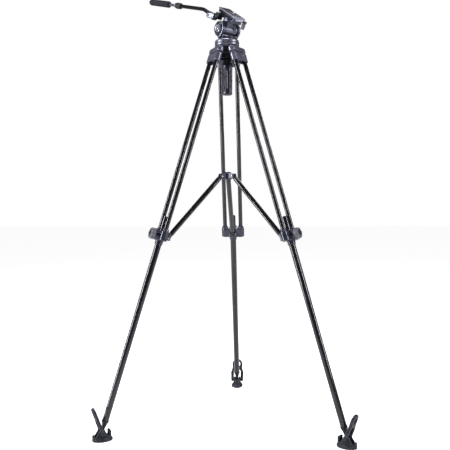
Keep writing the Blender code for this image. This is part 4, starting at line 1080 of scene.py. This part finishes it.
def make_handle():
    tilt = tilt_frame()
    at = tilt.to_3x3().to_4x4()
    at.translation = Vector(JOINTS["handle_angle"]["pos_m"])
    inward = at.inverted()
    long_way = (inward.to_3x3() @ Vector(JOINTS["handle_extend"]["axis"])).normalized()
    corner = inward @ Vector(JOINTS["handle_collar_twist"]["pos_m"])
    start = Vector(mm(0, -2, 0))
    neck_way = (corner - start).normalized()

    hub = rod_y(*mm(13, -7.8, 7.2), (0, 0), 64, 1.2 * MM)
    socket = sweep([start + neck_way * d * MM for d in (11, 12, 31, 32)], mm(8.8, 9.5, 9.5, 8.7), 40)
    cuts = [rod_y(*mm(4.3, -10, 10)), sweep([start + neck_way * 14.5 * MM, start + neck_way * 40 * MM],
                                            7.3 * MM, 40)]
    put("handle_clamp_moulding", carved([hub, socket], cuts, 0.7 * MM, 4), "pan_handle", "plastic", at,
        ("handle_clamp",))
    teeth = lathe(rounded([mm(5, 7), mm(12, 7), mm(12, 7.3), mm(5, 7.3)], 0.1 * MM, True, 2), 144,
                  (36, 0.6 * MM, 6 * MM, 9 * MM, 1.5))
    put("rosette_teeth", joined([moved(teeth, ALONG_Y)]), "pan_handle", "steel", at)

    section = [mm(0, -18), mm(4, -18), mm(4, 8.5), mm(8, 8.5), mm(9.9, 11), mm(9.6, 16), mm(9.3, 23),
               mm(8.9, 30), mm(6.8, 31.8), mm(0, 31.9)]
    knob = lathe(rounded(section, mm(0, 0.4, 0, 0.8, 1, 0, 0, 1.2, 0.6, 0)), 120,
                 (8, 1.4 * MM, 10 * MM, 32 * MM, 3.0))
    put("clamp_knob_grip", knob, "clamp_knob", "silver_knob", at @ spin(90, "X"), ("handle_clamp_knob",),
        36)

    first, last = corner - neck_way * 14 * MM, corner + long_way * 14 * MM
    curve = [first * (1 - k / 16) ** 2 + corner * 2 * (k / 16) * (1 - k / 16) + last * (k / 16) ** 2
             for k in range(17)]
    line = [start + neck_way * 15 * MM, *curve, corner + long_way * 0.1362, corner + long_way * 0.137]
    put("handle_tube_bent", joined([sweep(line, [7 * MM] * 18 + [7 * MM, 6.4 * MM], 48)]), "pan_handle",
        "tube", at, ("handle_tube",))

    along = Matrix.Translation(corner) @ long_way.to_track_quat("Z", "Y").to_matrix().to_4x4()
    low, high = 137 * MM, 170 * MM
    section = [(5.3 * MM, low + 0.4 * MM), (10.8 * MM, low + 0.4 * MM), (11.9 * MM, low + 4 * MM),
               (11.9 * MM, low + 9 * MM), (11.9 * MM, low + 15 * MM), (11.9 * MM, low + 20 * MM),
               (9.9 * MM, high - 1 * MM), (9.4 * MM, high), (5.3 * MM, high)]
    collar = lathe(rounded(section, mm(0, 0.6, 1, 0, 0, 1, 0.5, 0.3, 0.3), True), 120,
                   (14, 0.8 * MM, low + 3 * MM, low + 22 * MM, 2.0))
    put("twist_collar", collar, "handle_collar", "plastic", at @ along, ("handle_collar",), 36)
    ring = pipe(*mm(11.2, 8), low + 26 * MM, low + 28.5 * MM, 56, 0.5 * MM)
    put("collar_ring", ring, "handle_collar", "dial", at @ along, slot="steel_bright")

    bar = rod(*mm(5, 68, 317), 40)
    put("extension_rod", bar, "handle_grip", "rod", at @ along, ("handle_rod",))
    low, high = 213 * MM, 337 * MM
    body = [(12.7 * MM, low + (9 + 12 * k) * MM) for k in range(9)]
    section = [(5.3 * MM, low), (11.4 * MM, low), (12.7 * MM, low + 3 * MM), *body,
               (12.6 * MM, high - 8 * MM), (9.2 * MM, high - 0.6 * MM), (0, high)]
    radii = [0, 1 * MM, 1 * MM] + [0] * 9 + [3 * MM, 2 * MM, 0]
    section = rounded(section, radii, False, 5) + [(0, high - 19 * MM), (5.3 * MM, high - 19 * MM)]
    grip = lathe(section, 120, (12, 0.7 * MM, low + 6 * MM, high - 14 * MM, 4.0))
    put("grip_moulding", grip, "handle_grip", "grip", at @ along, ("handle_grip",), 40)


# ---------------------------------------------------------------- everything

def keep_hidden_pins():
    for number in (1, 2, 3):
        materials = frame["nodes"][f"hinge_pin_{number}"].data.materials
        materials.clear()
        materials.append(FINISHES["steel"])


make_camera()
make_studio()
make_bowl()
make_crown()
make_bowl_clamp()
for LEG in (1, 2, 3):
    PLACE = leg_frame(LEG)
    make_bracket(LEG, PLACE)
    make_upper_tubes(LEG, PLACE)
    make_collar(LEG, PLACE)
    make_lock_knob(LEG, PLACE)
    make_lower_leg(LEG, PLACE)
    make_shoe(LEG, PLACE)
make_spreader()
make_pan_body()
make_tilt_body()
make_plate()
make_handle()
keep_hidden_pins()
